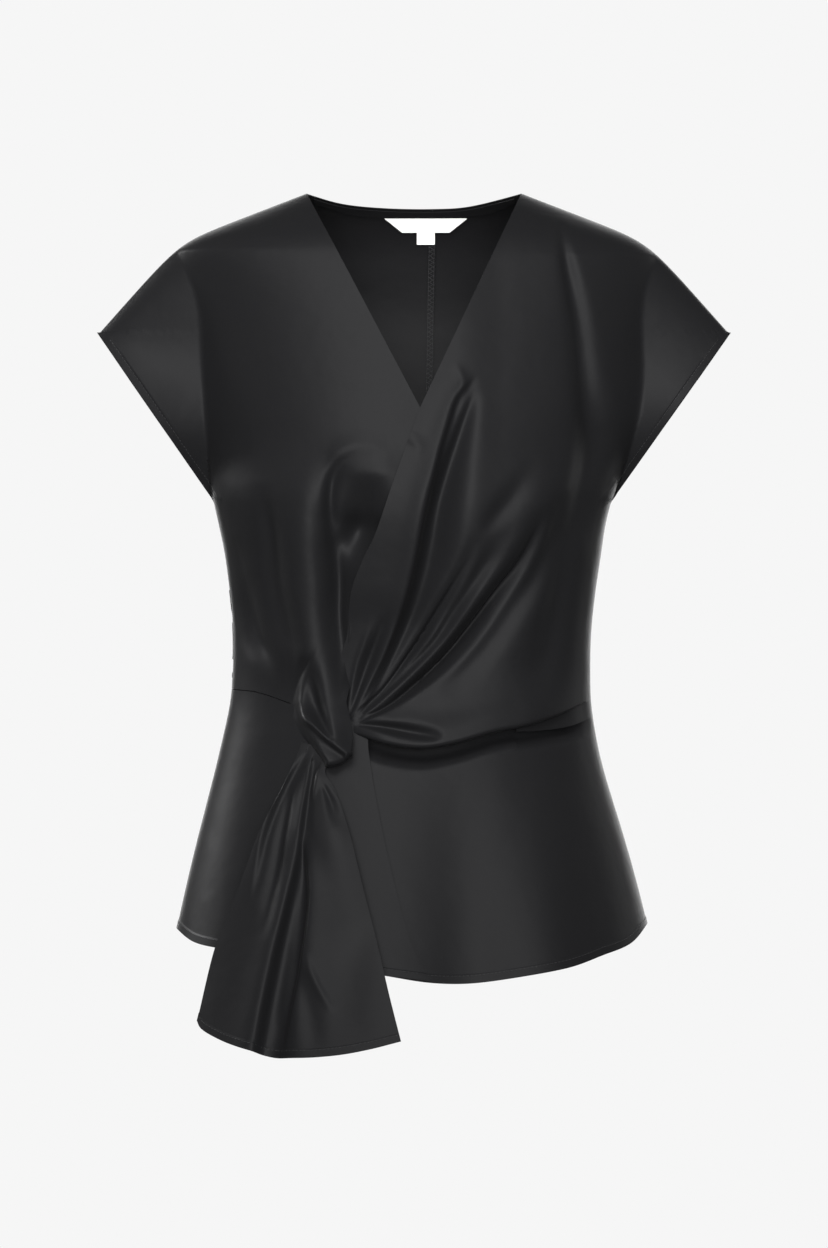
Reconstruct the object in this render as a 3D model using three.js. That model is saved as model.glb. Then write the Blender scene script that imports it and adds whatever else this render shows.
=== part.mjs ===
import * as THREE from "three";

// A wrap top in black satin, filled out as when it is worn: two fronts with grown-on cap sleeves that cross
// and knot at the waist, one hanging tail, a flared peplum in three parts, and a back in two halves.
// Millimetres. +Z is up, the front faces -Y, and +X is the wearer's left. The origin lies between the
// shoulders, where the wearer holds it up. Left and right are the wearer's.

const wall = 1.6; // cloth with its turnings, as a solid wall
const seamGap = 0.3; // between pieces at a seam
const seamSnap = 0.8; // a point this near the outline lies on its seam
const tiny = 0.001; // for heights that are the same but for rounding
const neck = { x: 88, z: 22 }; // high shoulder point
const shoulderBreak = { x: 192, slope: 0.385, sleeveSlope: 1.13, softness: 9 };
const sleeveTip = { x: 260, z: -92 };
const underarm = { z: -230, left: 162, right: 164.4 };
const cuffOpening = 27; // how far each side of the cuff stands further open at its middle
const tipFade = 40; // how far below the sleeve's tip the shoulder line's slope still acts
const roundness = 2.35; // of the body's sections, where 2 is an ellipse
const underSleeve = { fall: 0.62, rise: 60 }; // how gently the body's sections end there, and how far up that comes in
const label = { x: 9.8, top: 4.6, bottom: -6.6, halfTop: 34, halfBottom: 19.6, halfTab: 7.4, tabBottom: -16.6 };
const trim = 1; // thickness of the facing and the labels
const overlap = 2.8; // how far a front lies above the layer below it
const drape = { height: 11, reach: 26, roll: 4 }; // of the left front's lower edge, which hangs over and rolls under
const knotRoll = { size: 5, angle: 2.6 }; // how the column turns under at its foot
const knotLift = 1.6; // of the column over the cloth below it
const tail = { liftAtKnot: 4.9, lift: 13, from: -446, over: 70 }; // it stands off the peplum more as it hangs free
const creaseSoftness = 6; // half the breadth of a stepped fold's slope
const foldFade = 13; // how far from a side edge the folds reach their full height
const crowding = 0.35; // of grid lines towards a side seam, where 0 is the most and 1 is even

// Depth of the body in front of and behind the side seams, at each height.
const bodySections = [
  { z: 24, front: 16, back: 28 },
  { z: 10, front: 31, back: 47 },
  { z: -5, front: 43, back: 59 },
  { z: -30, front: 58, back: 72 },
  { z: -60, front: 71, back: 84 },
  { z: -100, front: 86, back: 93 },
  { z: -150, front: 103, back: 97 },
  { z: -200, front: 116, back: 95 },
  { z: -235, front: 118, back: 91 },
  { z: -285, front: 109, back: 84 },
  { z: -335, front: 98, back: 78 },
  { z: -388, front: 92, back: 76 },
  { z: -425, front: 97, back: 84 },
  { z: -480, front: 111, back: 101 },
  { z: -540, front: 127, back: 119 },
  { z: -625, front: 148, back: 142 },
  { z: -690, front: 163, back: 160 },
];

// Half widths of the outline below the underarm.
const outline = [
  { z: -230, left: 162, right: 164.4 },
  { z: -250, left: 157, right: 160 },
  { z: -271, left: 153.8, right: 155.6 },
  { z: -295, left: 150.2, right: 152.2 },
  { z: -320, left: 147, right: 149.4 },
  { z: -345, left: 145, right: 148.2 },
  { z: -370, left: 144.6, right: 148.6 },
  { z: -394, left: 145.2, right: 150.6 },
  { z: -418, left: 148.4, right: 155.4 },
  { z: -443, left: 153.6, right: 161.2 },
  { z: -480, left: 164.4, right: 170.6 },
  { z: -517, left: 175.6, right: 180 },
  { z: -550, left: 184.6, right: 187.8 },
  { z: -580, left: 192, right: 194.4 },
  { z: -625, left: 202, right: 204 },
  { z: -690, left: 216, right: 218 },
];

// Half width of the body inside the sleeves, and how full the sleeve is over the shoulder.
const sleeveSections = [
  { z: 24, bodyLeft: 210, bodyRight: 205, full: 18 },
  { z: -15, bodyLeft: 205, bodyRight: 199, full: 44 },
  { z: -40, bodyLeft: 195, bodyRight: 187, full: 45 },
  { z: -65, bodyLeft: 188, bodyRight: 178, full: 43 },
  { z: -110, bodyLeft: 187, bodyRight: 174, full: 34 },
  { z: -150, bodyLeft: 186, bodyRight: 172, full: 22 },
  { z: -200, bodyLeft: 173, bodyRight: 168, full: 8 },
  { z: -230, bodyLeft: 162, bodyRight: 164.4, full: 0 },
];

// Folds: each runs up and out from the knot. Height is out of the cloth, width is from its line to its foot,
// and step tilts it, high on the side of the knot's edge and low on the other.
const leftFrontFolds = [
  {
    name: "edge band crease",
    step: true,
    path: [
      { x: -44, z: -402, height: 0.6, width: 3 },
      { x: -27.5, z: -371.5, height: 2.6, width: 8 },
      { x: -15.2, z: -337, height: 4, width: 13 },
      { x: -4.5, z: -306, height: 4.6, width: 18 },
      { x: 4.5, z: -265.7, height: 5, width: 22 },
      { x: 12.7, z: -232, height: 5, width: 22 },
      { x: 16.8, z: -204, height: 4.4, width: 20 },
      { x: 23.4, z: -177, height: 3.6, width: 17 },
      { x: 34.9, z: -149, height: 2.4, width: 13 },
      { x: 52, z: -131, height: 0, width: 8 },
    ],
  },
  {
    name: "first gather",
    path: [
      { x: -46, z: -407, height: -0.6, width: 1.6 },
      { x: -27.5, z: -388, height: -2.6, width: 3.4 },
      { x: -8.6, z: -366.5, height: -4, width: 5 },
      { x: 10.3, z: -333, height: -4, width: 6 },
      { x: 28.3, z: -303.4, height: -2.4, width: 6.5 },
      { x: 47, z: -272, height: 0, width: 6 },
    ],
  },
  {
    name: "second gather",
    path: [
      { x: -45, z: -409, height: -0.6, width: 1.6 },
      { x: -6.2, z: -370.6, height: -3, width: 3.4 },
      { x: 14.4, z: -347.7, height: -3.4, width: 4.4 },
      { x: 35.7, z: -316.5, height: -2.8, width: 6.5 },
      { x: 50.4, z: -291, height: -1.8, width: 8 },
      { x: 66, z: -266, height: 0, width: 8 },
    ],
  },
  {
    name: "deep gather",
    path: [
      { x: -44, z: -411, height: -0.8, width: 1.8 },
      { x: -15.2, z: -392, height: -4, width: 5 },
      { x: 10.3, z: -371.5, height: -6.4, width: 8 },
      { x: 35.7, z: -346, height: -7.4, width: 10.5 },
      { x: 57, z: -322, height: -7, width: 11.5 },
      { x: 73.4, z: -301.8, height: -6, width: 11 },
      { x: 90.6, z: -274, height: -4, width: 9.5 },
      { x: 104, z: -246, height: 0, width: 8 },
    ],
  },
  {
    name: "soft gather",
    path: [
      { x: 22, z: -389, height: 0, width: 12 },
      { x: 46.3, z: -366.5, height: -2.4, width: 13 },
      { x: 73.4, z: -329, height: -4, width: 13 },
      { x: 94.7, z: -299, height: -4.4, width: 12 },
      { x: 109.5, z: -274, height: -3.4, width: 10 },
      { x: 121, z: -234, height: 0, width: 9 },
    ],
  },
  {
    name: "fold from the shoulder tuck",
    path: [
      { x: 92, z: -398, height: 0, width: 14 },
      { x: 107.8, z: -358, height: -2.4, width: 13 },
      { x: 116, z: -326, height: -3.4, width: 12 },
      { x: 122.6, z: -295, height: -3.8, width: 12 },
      { x: 128.3, z: -266, height: -4.4, width: 12 },
      { x: 140, z: -228, height: -5.4, width: 13 },
      { x: 148, z: -189, height: -6, width: 14 },
      { x: 147, z: -165, height: -5.6, width: 13 },
      { x: 141, z: -131, height: -4.6, width: 10 },
      { x: 135, z: -82, height: -3.4, width: 8 },
      { x: 125, z: -34, height: -2.4, width: 5 },
      { x: 119, z: -2, height: 0, width: 3 },
    ],
  },
  {
    name: "pocket above the lower roll",
    path: [
      { x: -45, z: -413, height: -0.8, width: 2 },
      { x: -23.4, z: -416, height: -4.6, width: 4 },
      { x: -2.9, z: -419.5, height: -5.6, width: 5 },
      { x: 12, z: -422.5, height: -3.6, width: 4.5 },
      { x: 23, z: -425.5, height: 0, width: 3.5 },
    ],
  },
];

const rightFrontFolds = [
  {
    name: "column into the knot",
    path: [
      { x: -68, z: -440, height: 19, width: 30 },
      { x: -73, z: -406, height: 19, width: 27 },
      { x: -79, z: -377, height: 16, width: 23 },
      { x: -84, z: -344, height: 12.5, width: 23 },
      { x: -90, z: -303, height: 9.5, width: 24 },
      { x: -94, z: -262, height: 6, width: 24 },
      { x: -97, z: -220, height: 2, width: 26 },
      { x: -98, z: -185, height: 0, width: 30 },
    ],
  },
  {
    name: "left side of the column",
    path: [
      { x: -100, z: -392, height: -1.4, width: 7 },
      { x: -98, z: -353, height: -3, width: 9 },
      { x: -104, z: -330, height: -3.8, width: 10 },
      { x: -112, z: -298, height: -4, width: 10 },
      { x: -117, z: -260, height: -3.6, width: 9 },
      { x: -120, z: -238, height: -2.2, width: 8 },
      { x: -124, z: -216, height: 0, width: 8 },
    ],
  },
  {
    name: "side pull",
    path: [
      { x: -112, z: -380, height: 0, width: 6 },
      { x: -122, z: -358, height: -2, width: 7 },
      { x: -133, z: -338, height: -2.2, width: 8 },
      { x: -141, z: -290, height: 0, width: 10 },
    ],
  },
  {
    name: "hollow beside the column",
    path: [
      { x: -60, z: -352, height: 0, width: 8 },
      { x: -61, z: -312, height: -3.5, width: 10 },
      { x: -56, z: -272, height: -8, width: 15 },
      { x: -46, z: -243, height: -11.5, width: 21 },
      { x: -44, z: -216, height: -6, width: 20 },
      { x: -40, z: -186, height: 0, width: 18 },
    ],
  },
  {
    name: "hollow in the column",
    path: [
      { x: -64, z: -424, height: -1.5, width: 4 },
      { x: -71, z: -408, height: -5, width: 6 },
      { x: -79, z: -392, height: -5.5, width: 7.5 },
      { x: -83, z: -368, height: -2.4, width: 7 },
      { x: -84, z: -352, height: 0, width: 7 },
    ],
  },
];

const tailFolds = [
  {
    name: "outer crease",
    step: true,
    path: [
      { x: -122, z: -545, height: 0, width: 9 },
      { x: -119, z: -522, height: 0.9, width: 10 },
      { x: -111, z: -487, height: 2, width: 9 },
      { x: -100, z: -456, height: 1.8, width: 7 },
      { x: -88, z: -440, height: 0.4, width: 5 },
    ],
  },
  {
    name: "right flap",
    path: [
      { x: -30, z: -668, height: 1.5, width: 40 },
      { x: -48, z: -590, height: 3, width: 28 },
      { x: -62, z: -520, height: 4, width: 17 },
      { x: -72, z: -460, height: 2, width: 8 },
    ],
  },
  {
    name: "pleat between the flaps",
    path: [
      { x: -112, z: -684, height: -5, width: 12 },
      { x: -103, z: -630, height: -5.4, width: 11 },
      { x: -91, z: -570, height: -5, width: 9 },
      { x: -85, z: -530, height: -3.6, width: 6 },
      { x: -85, z: -490, height: -1.8, width: 4 },
      { x: -80, z: -460, height: 0, width: 3 },
    ],
  },
];

const skirtFolds = [
  {
    name: "right side flute",
    path: [
      { x: -112, z: -600, height: -5, width: 34 },
      { x: -112, z: -500, height: -3, width: 26 },
      { x: -112, z: -420, height: 0, width: 20 },
    ],
  },
  {
    name: "left front flute",
    path: [
      { x: 46, z: -625, height: -7, width: 38 },
      { x: 40, z: -520, height: -3.5, width: 32 },
      { x: 34, z: -430, height: 0, width: 24 },
    ],
  },
  {
    name: "left side flute",
    path: [
      { x: 118, z: -615, height: 4, width: 30 },
      { x: 112, z: -520, height: 2, width: 26 },
      { x: 108, z: -430, height: 0, width: 20 },
    ],
  },
];

const backFolds = [
  {
    name: "right blade fold",
    path: [
      { x: -92, z: -386, height: -3, width: 20 },
      { x: -100, z: -300, height: -3.5, width: 20 },
      { x: -112, z: -190, height: 0, width: 22 },
    ],
  },
  {
    name: "left blade fold",
    path: [
      { x: 84, z: -390, height: -3.5, width: 19 },
      { x: 97, z: -310, height: -3, width: 20 },
      { x: 114, z: -200, height: 0, width: 22 },
    ],
  },
];

// Small helpers for numbers and tables.
const clamp01 = (t) => Math.min(1, Math.max(0, t));
const mix = (a, b, t) => a + (b - a) * t;
const ease = (t) => clamp01(t) ** 2 * (3 - 2 * clamp01(t));
const closingIn = (t) => 1 - Math.cos((t * Math.PI) / 2); // steps that shorten towards 0

// A natural cubic spline through a table's rows, as a function of the key column.
function spline(rows, key, column) {
  const sorted = [...rows].sort((a, b) => a[key] - b[key]);
  const xs = sorted.map((r) => r[key]);
  const ys = sorted.map((r) => r[column]);
  const n = xs.length;
  const bend = new Array(n).fill(0);
  const upper = new Array(n).fill(0);
  const right = new Array(n).fill(0);
  for (let i = 1; i < n - 1; i++) {
    const before = xs[i] - xs[i - 1];
    const after = xs[i + 1] - xs[i];
    const turn = 6 * ((ys[i + 1] - ys[i]) / after - (ys[i] - ys[i - 1]) / before);
    const pivot = 2 * (before + after) - before * upper[i - 1];
    upper[i] = after / pivot;
    right[i] = (turn - before * right[i - 1]) / pivot;
  }
  for (let i = n - 2; i > 0; i--) bend[i] = right[i] - upper[i] * bend[i + 1];
  return (x) => {
    const at = Math.min(xs[n - 1], Math.max(xs[0], x));
    let i = 0;
    while (i < n - 2 && at > xs[i + 1]) i++;
    const h = xs[i + 1] - xs[i];
    const a = (xs[i + 1] - at) / h;
    const b = (at - xs[i]) / h;
    return a * ys[i] + b * ys[i + 1] + (((a ** 3 - a) * bend[i] + (b ** 3 - b) * bend[i + 1]) * h * h) / 6;
  };
}

// A curve in the front view through points, by length along them, from 0 to 1.
function edgeThrough(points) {
  const path = new THREE.CatmullRomCurve3(
    points.map(([x, z]) => new THREE.Vector3(x, 0, z)),
    false,
    "centripetal",
  );
  path.arcLengthDivisions = 400;
  return (t) => {
    const p = path.getPointAt(clamp01(t));
    return [p.x, p.z];
  };
}

const straight = (from, to) => (t) => [mix(from[0], to[0], t), mix(from[1], to[1], t)];

// Several curves end to end; each takes its share of the way.
function joined(parts) {
  return (t) => {
    let start = 0;
    for (const [share, curve] of parts) {
      if (t <= start + share + 1e-9) return curve(clamp01((t - start) / share));
      start += share;
    }
    return parts.at(-1)[1](1);
  };
}

// The outline of the garment, and the depth of its body at each place in the front view.
const frontDepth = spline(bodySections, "z", "front");
const backDepth = spline(bodySections, "z", "back");
const outlineLeft = spline(outline, "z", "left");
const outlineRight = spline(outline, "z", "right");
const bodyLeft = spline(sleeveSections, "z", "bodyLeft");
const bodyRight = spline(sleeveSections, "z", "bodyRight");
const sleeveFull = spline(sleeveSections, "z", "full");

function shoulderZ(x) {
  const { x: breakX, slope, sleeveSlope, softness } = shoulderBreak;
  const past = softness * Math.log1p(Math.exp((x - breakX) / softness));
  return neck.z - slope * (x - neck.x) - (sleeveSlope - slope) * past;
}

// The half width at a height: the shoulder line, then the cuff, then the side seam.
function halfWidth(z, side) {
  const armpit = side > 0 ? underarm.left : underarm.right;
  if (z <= underarm.z) return side > 0 ? outlineLeft(z) : outlineRight(z);
  if (z <= sleeveTip.z + tiny) return mix(armpit, sleeveTip.x, (z - underarm.z) / (sleeveTip.z - underarm.z));
  let low = 0;
  let high = sleeveTip.x;
  for (let i = 0; i < 40; i++) {
    const mid = (low + high) / 2;
    if (shoulderZ(mid) > z) low = mid;
    else high = mid;
  }
  return (low + high) / 2;
}

// How far the cloth stands in front of the side seams' plane, or behind it.
function bodyDepth(x, z, depthAt) {
  const side = x >= 0 ? 1 : -1;
  const edge = halfWidth(z, side);
  const out = clamp01(Math.abs(x) / edge);
  if (z <= underarm.z) return depthAt(z) * (1 - out ** roundness) ** (1 / roundness);
  const breadth = Math.min(edge, (side > 0 ? bodyLeft : bodyRight)(z));
  const fall = mix(1 / roundness, underSleeve.fall, ease((z - underarm.z) / underSleeve.rise));
  const trunk = depthAt(z) * (1 - clamp01(Math.abs(x) / breadth) ** roundness) ** fall;
  const past = Math.max(0, sleeveTip.z - z);
  const sleeveEdge = past > 0 ? sleeveTip.x + (past / shoulderBreak.sleeveSlope) * Math.exp(-past / tipFade) : edge;
  const down = clamp01(past / (sleeveTip.z - underarm.z));
  const cuff = cuffOpening * Math.sin(Math.PI * down) ** 1.6 * out ** 3;
  const sleeve = sleeveFull(z) * Math.sqrt(1 - clamp01(Math.abs(x) / sleeveEdge) ** 2) + cuff;
  return Math.hypot(trunk, sleeve);
}

const onFront = (x, z) => new THREE.Vector3(x, -bodyDepth(x, z, frontDepth), z);
const onBack = (x, z) => new THREE.Vector3(x, bodyDepth(x, z, backDepth), z);

// Fold relief at a place in the front view.
function reliefOf(folds) {
  const lines = folds.map(({ path, step }) => {
    const curve = new THREE.CatmullRomCurve3(
      path.map((p) => new THREE.Vector3(p.x, p.z, 0)),
      false,
      "centripetal",
    );
    const sizes = new THREE.CatmullRomCurve3(
      path.map((p) => new THREE.Vector3(p.height, p.width, 0)),
      false,
      "catmullrom",
      0.5,
    );
    const count = (path.length - 1) * 5;
    const samples = [];
    for (let i = 0; i <= count; i++) samples.push({ at: curve.getPoint(i / count), size: sizes.getPoint(i / count) });
    return { samples, step };
  });
  return (x, z) => {
    let sum = 0;
    for (const { samples, step } of lines) {
      let best = Infinity;
      let signed = 0;
      let height = 0;
      let width = 1;
      for (let i = 0; i + 1 < samples.length; i++) {
        const a = samples[i];
        const b = samples[i + 1];
        const ex = b.at.x - a.at.x;
        const ez = b.at.y - a.at.y;
        const t = clamp01(((x - a.at.x) * ex + (z - a.at.y) * ez) / (ex * ex + ez * ez));
        const dx = x - a.at.x - t * ex;
        const dz = z - a.at.y - t * ez;
        const far = Math.hypot(dx, dz);
        if (far < best) {
          best = far;
          signed = Math.sign(ez * dx - ex * dz) * far;
          height = mix(a.size.x, b.size.x, t);
          width = Math.max(0.5, mix(a.size.y, b.size.y, t));
        }
      }
      if (step) sum -= height * Math.tanh(signed / creaseSoftness) * Math.exp(-((signed / width) ** 2));
      else sum += height * Math.exp(-((signed / width) ** 2));
    }
    return sum;
  };
}

const leftRelief = reliefOf(leftFrontFolds);
const rightRelief = reliefOf(rightFrontFolds);
const tailRelief = reliefOf(tailFolds);
const skirtRelief = reliefOf(skirtFolds);
const backRelief = reliefOf(backFolds);

// A surface patch between four curves in the front view. u runs from side a to side b, and v from top to foot.
function patch(top, foot, sideA, sideB) {
  const [topA, topB, footA, footB] = [sideA(0), sideB(0), sideA(1), sideB(1)];
  return (u, v) =>
    [0, 1].map((k) => {
      const across = mix(top(u)[k], foot(u)[k], v) + mix(sideA(v)[k], sideB(v)[k], u);
      return across - mix(mix(topA[k], topB[k], u), mix(footA[k], footB[k], u), v);
    });
}

// A cloth wall on a grid of points, which runs towards +X and then down. Its folds and its thickness follow
// the smooth body's own outward direction. rows[j][i] is {base, lift}; keep(i, j) says whether the square from
// i, j belongs to the piece, seam(i, j) where its edge lies flat, and roll(i) how its last row curls under.
function clothWall(rows, surface, { thick = wall, keep = () => true, seam = () => false, roll } = {}) {
  const turn = surface === onFront ? -1 : 1;
  const wide = rows[0].length;
  const flat = rows.length;
  const outer = [];
  const inner = [];
  const push = (point, normal) => {
    outer.push(point);
    inner.push(point.clone().addScaledVector(normal, -thick));
  };
  for (let j = 0; j < flat; j++)
    for (let i = 0; i < wide; i++) {
      const along = rows[j][Math.min(wide - 1, i + 1)].base.clone().sub(rows[j][Math.max(0, i - 1)].base);
      const down = rows[Math.min(flat - 1, j + 1)][i].base.clone().sub(rows[Math.max(0, j - 1)][i].base);
      const normal = along.cross(down).multiplyScalar(turn).normalize();
      if (seam(i, j)) normal.setY(0).normalize();
      push(rows[j][i].base.clone().addScaledVector(normal, rows[j][i].lift), normal);
    }
  const rollSteps = roll ? 3 : 0;
  const high = flat + rollSteps;
  for (let k = 1; k <= rollSteps; k++)
    for (let i = 0; i < wide; i++) {
      const edge = (flat - 1) * wide + i;
      const out = outer[edge].clone().sub(inner[edge]).setZ(0).normalize();
      const { size, angle } = roll(i);
      const turned = (angle * k) / rollSteps;
      const point = outer[edge].clone().addScaledVector(out, size * (Math.cos(turned) - 1));
      point.z -= size * Math.sin(turned);
      push(point, out.multiplyScalar(Math.cos(turned)).setZ(-Math.sin(turned)).normalize());
    }
  const positions = [];
  const put = (...points) => points.forEach((p) => positions.push(p.x, p.y, p.z));
  const at = (i, j) => j * wide + i;
  const inside = (i, j) => i >= 0 && j >= 0 && i < wide - 1 && j < high - 1 && keep(i, j);
  const face = (a, b, c) => (turn > 0 ? put(a, b, c) : put(a, c, b));
  const rim = (p, q) => {
    face(outer[p], inner[q], outer[q]);
    face(outer[p], inner[p], inner[q]);
  };
  for (let j = 0; j < high - 1; j++)
    for (let i = 0; i < wide - 1; i++) {
      if (!keep(i, j)) continue;
      const [a, b, c, d] = [at(i, j), at(i + 1, j), at(i + 1, j + 1), at(i, j + 1)];
      face(outer[a], outer[b], outer[c]);
      face(outer[a], outer[c], outer[d]);
      face(inner[a], inner[c], inner[b]);
      face(inner[a], inner[d], inner[c]);
      if (!inside(i, j - 1)) rim(a, b);
      if (!inside(i + 1, j)) rim(b, c);
      if (!inside(i, j + 1)) rim(c, d);
      if (!inside(i - 1, j)) rim(d, a);
    }
  const geometry = new THREE.BufferGeometry();
  geometry.setAttribute("position", new THREE.Float32BufferAttribute(positions, 3));
  geometry.computeVertexNormals();
  return geometry;
}

// Lays a patch on the body as a grid; steps spread the grid's lines, and lift raises the cloth off the body.
function gridOn(surface, place, uSteps, vSteps, lift, seamPlane) {
  return vSteps.map((v) =>
    uSteps.map((u) => {
      const [across, z] = place(u, v);
      const edge = halfWidth(z, across < 0 ? -1 : 1);
      const x = Math.abs(across) > edge - seamSnap ? Math.sign(across) * edge : across;
      const base = surface(x, z);
      if (Math.abs(base.y) < seamPlane) base.y = surface === onBack ? seamPlane : -seamPlane;
      return { base, lift: lift(x, z, u, v) };
    }),
  );
}

const even = (count) => Array.from({ length: count + 1 }, (_, i) => i / count);
// Even steps on each side of a corner in the panel's edge.
const stepsThrough = (corner, before, after) => [
  ...even(before).map((t) => t * corner),
  ...even(after).slice(1).map((t) => mix(corner, 1, t)),
];

// Edges and seams in the front view.
const sideSeam = (side, from, to) => (t) => {
  const z = mix(from, to, t);
  return [side * halfWidth(z, side), z];
};
const atSide = (side, z) => [side * halfWidth(z, side), z];
const cuffEdge = (side) => straight([side * sleeveTip.x, sleeveTip.z], atSide(side, underarm.z));
const shoulderSeam = (side) => (t) => {
  const x = mix(neck.x, sleeveTip.x, t);
  return [side * x, Math.max(sleeveTip.z, shoulderZ(x))];
};
const backwards = (curve) => (t) => curve(1 - t);
const lowered = (curve, by) => (t) => [curve(t)[0], curve(t)[1] - by];
// Steps across a panel that shorten towards its side seam, where the cloth turns away.
const sideSteps = (count, side) =>
  even(count).map((t) => (side > 0 ? 1 - mix(closingIn(1 - t), 1 - t, crowding) : mix(closingIn(t), t, crowding)));
// 0 near a side edge, where folds die out, and 1 further in.
const awayFromSide = (x, z, side) => ease((halfWidth(z, side) - Math.abs(x)) / foldFade + 0.07);
const cuffShare = 0.42; // of a side edge that the cuff takes, above the side seam

const vPoint = [5, -155];
const neckPointRight = [-neck.x, neck.z];
const neckPointLeft = [neck.x, neck.z];
const waistSideRight = -384;
const waistSideLeft = -392;
const columnSeamEnd = [-100.7, -395.5]; // where the right waist seam goes under the column

// Right front: from the shoulder to the waist seam, and on down the column into the knot.
const columnShare = 0.6; // of the waist row that the seam takes, before the column
const rightFrontEdge = joined([
  [0.44, straight(neckPointRight, vPoint)],
  [
    0.56,
    edgeThrough([
      vPoint,
      [10, -185],
      [4, -222],
      [-14, -255],
      [-36, -280],
      [-47, -292],
      [-53, -305],
      [-56.5, -340],
      [-56, -372],
      [-53.5, -396],
    ]),
  ],
]);
const rightWaistSeam = edgeThrough([atSide(-1, waistSideRight), [-128, -386.5], columnSeamEnd]);
const rightWaist = joined([
  [columnShare, rightWaistSeam],
  [1 - columnShare, straight(columnSeamEnd, [-53.5, -396])],
]);
const rightFrontUpper = patch(
  backwards(shoulderSeam(-1)),
  rightWaist,
  joined([
    [cuffShare, cuffEdge(-1)],
    [1 - cuffShare, sideSeam(-1, underarm.z, waistSideRight)],
  ]),
  rightFrontEdge,
);
const columnFoot = edgeThrough([[-74, -444], [-66, -446.5], [-58, -444], [-49, -437.5]]);
const rightFrontColumn = patch(
  straight(columnSeamEnd, [-53.5, -396]),
  columnFoot,
  edgeThrough([columnSeamEnd, [-98, -407], [-90.5, -423], [-82, -434], [-74, -444]]),
  edgeThrough([[-53.5, -396], [-50.3, -410], [-48.6, -424], [-49, -437.5]]),
);

function rightFrontWall() {
  const acrossSide = 14;
  const acrossColumn = 9;
  const uSteps = [
    ...sideSteps(acrossSide, -1).map((t) => t * columnShare),
    ...even(acrossColumn).slice(1).map((t) => mix(columnShare, 1, t)),
  ];
  const down = stepsThrough(cuffShare, 14, 14);
  const lift = (x, z) => rightRelief(x, z) * awayFromSide(x, z, -1);
  const rows = gridOn(onFront, rightFrontUpper, uSteps, down, lift, seamGap / 2);
  const columnRows = 7;
  for (let k = 1; k <= columnRows; k++) {
    const v = k / columnRows;
    rows.push(
      uSteps.map((u, i) => {
        const [x, z] = rightFrontColumn(clamp01((i - acrossSide) / acrossColumn), v);
        return { base: onFront(x, z), lift: rightRelief(x, z) + knotLift * ease(v * 3) };
      }),
    );
  }
  const flatRows = down.length - 1;
  return clothWall(rows, onFront, {
    keep: (i, j) => j < flatRows || i >= acrossSide,
    seam: (i, j) => j === 0 || (i === 0 && j <= flatRows && down[j] >= cuffShare - 1e-6),
    roll: () => knotRoll,
  });
}

// Left front: a fan from the gathers in the knot out to the shoulder seam, the cuff and the side seam.
const leftFrontEdge = edgeThrough([
  [-57, -408],
  [-60, -390],
  [-60, -372],
  [-59, -355],
  [-54.5, -340],
  [-50.5, -303],
  [-39, -273],
  [-32.4, -260],
  [-16, -213],
  [5, -155.5],
]);
const leftLowerEdge = edgeThrough([
  [-55.5, -418],
  [-43, -420.5],
  [-24, -427],
  [5.3, -431],
  [34, -426.5],
  [63.6, -417.5],
  [86.5, -412.5],
  [106, -406.7],
  [125, -400],
  atSide(1, waistSideLeft),
]);
const fan = { rays: 36, shoulder: 18, cuff: 7 }; // rays in all, and those to the shoulder seam and to the cuff
const leftOuterEdge = joined([
  [fan.shoulder / fan.rays, shoulderSeam(1)],
  [fan.cuff / fan.rays, cuffEdge(1)],
  [1 - (fan.shoulder + fan.cuff) / fan.rays, sideSeam(1, underarm.z, waistSideLeft)],
]);
const leftFrontFan = patch(
  joined([
    [0.52, leftFrontEdge],
    [0.48, straight(leftFrontEdge(1), neckPointLeft)],
  ]),
  leftLowerEdge,
  straight(leftFrontEdge(0), leftLowerEdge(0)),
  leftOuterEdge,
);

function leftLowerEdgeAt(x) {
  let best = leftLowerEdge(0);
  for (let t = 0; t <= 1.0001; t += 0.02) {
    const p = leftLowerEdge(t);
    if (Math.abs(p[0] - x) < Math.abs(best[0] - x)) best = p;
  }
  return best[1];
}

// How fully the lower edge hangs over: none at the knot and at the side seam.
const drapeShare = (x) => ease((145 - x) / 60) * ease((x + 62) / 40);
const rollSize = (x) => mix(2, drape.roll, drapeShare(x));

function leftFrontWall() {
  const along = 21;
  const lift = (x, z) => {
    const overRight = overlap * ease((75 - x) / 40) * ease((z + 335) / 36);
    const below = leftLowerEdgeAt(x) - z;
    const hang = drape.height * Math.exp(-(((below + 2) / drape.reach) ** 2)) * drapeShare(x);
    const fade = awayFromSide(x, z, 1) * ease((shoulderZ(Math.abs(x)) - z) / 8 + 0.1);
    return (leftRelief(x, z) + hang) * fade + overRight;
  };
  const steps = even(along).map((t) => 1 - mix(closingIn(1 - t), 1 - t, 0.45));
  const rows = gridOn(onFront, leftFrontFan, steps, even(fan.rays), lift, seamGap / 2);
  return clothWall(rows, onFront, {
    seam: (i, j) => i === along && (j <= fan.shoulder || j >= fan.shoulder + fan.cuff),
    roll: (i) => {
      const { x } = rows[fan.rays][i].base;
      return { size: rollSize(x), angle: mix(0.9, 2.9, drapeShare(x)) };
    },
  });
}

// The layer under the left front's lower edge, which shows at the side seam.
const wrapReturnSide = atSide(1, -407);
const wrapReturnFoot = edgeThrough([[84, -418.5], [104, -417.5], [120, -415.7], [132.4, -413], wrapReturnSide]);
const wrapReturnTop = (t) => {
  const x = mix(84, 145, t);
  const z = leftLowerEdgeAt(x) - rollSize(x) - 2;
  return t < 1 ? [x, z] : atSide(1, z);
};

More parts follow.
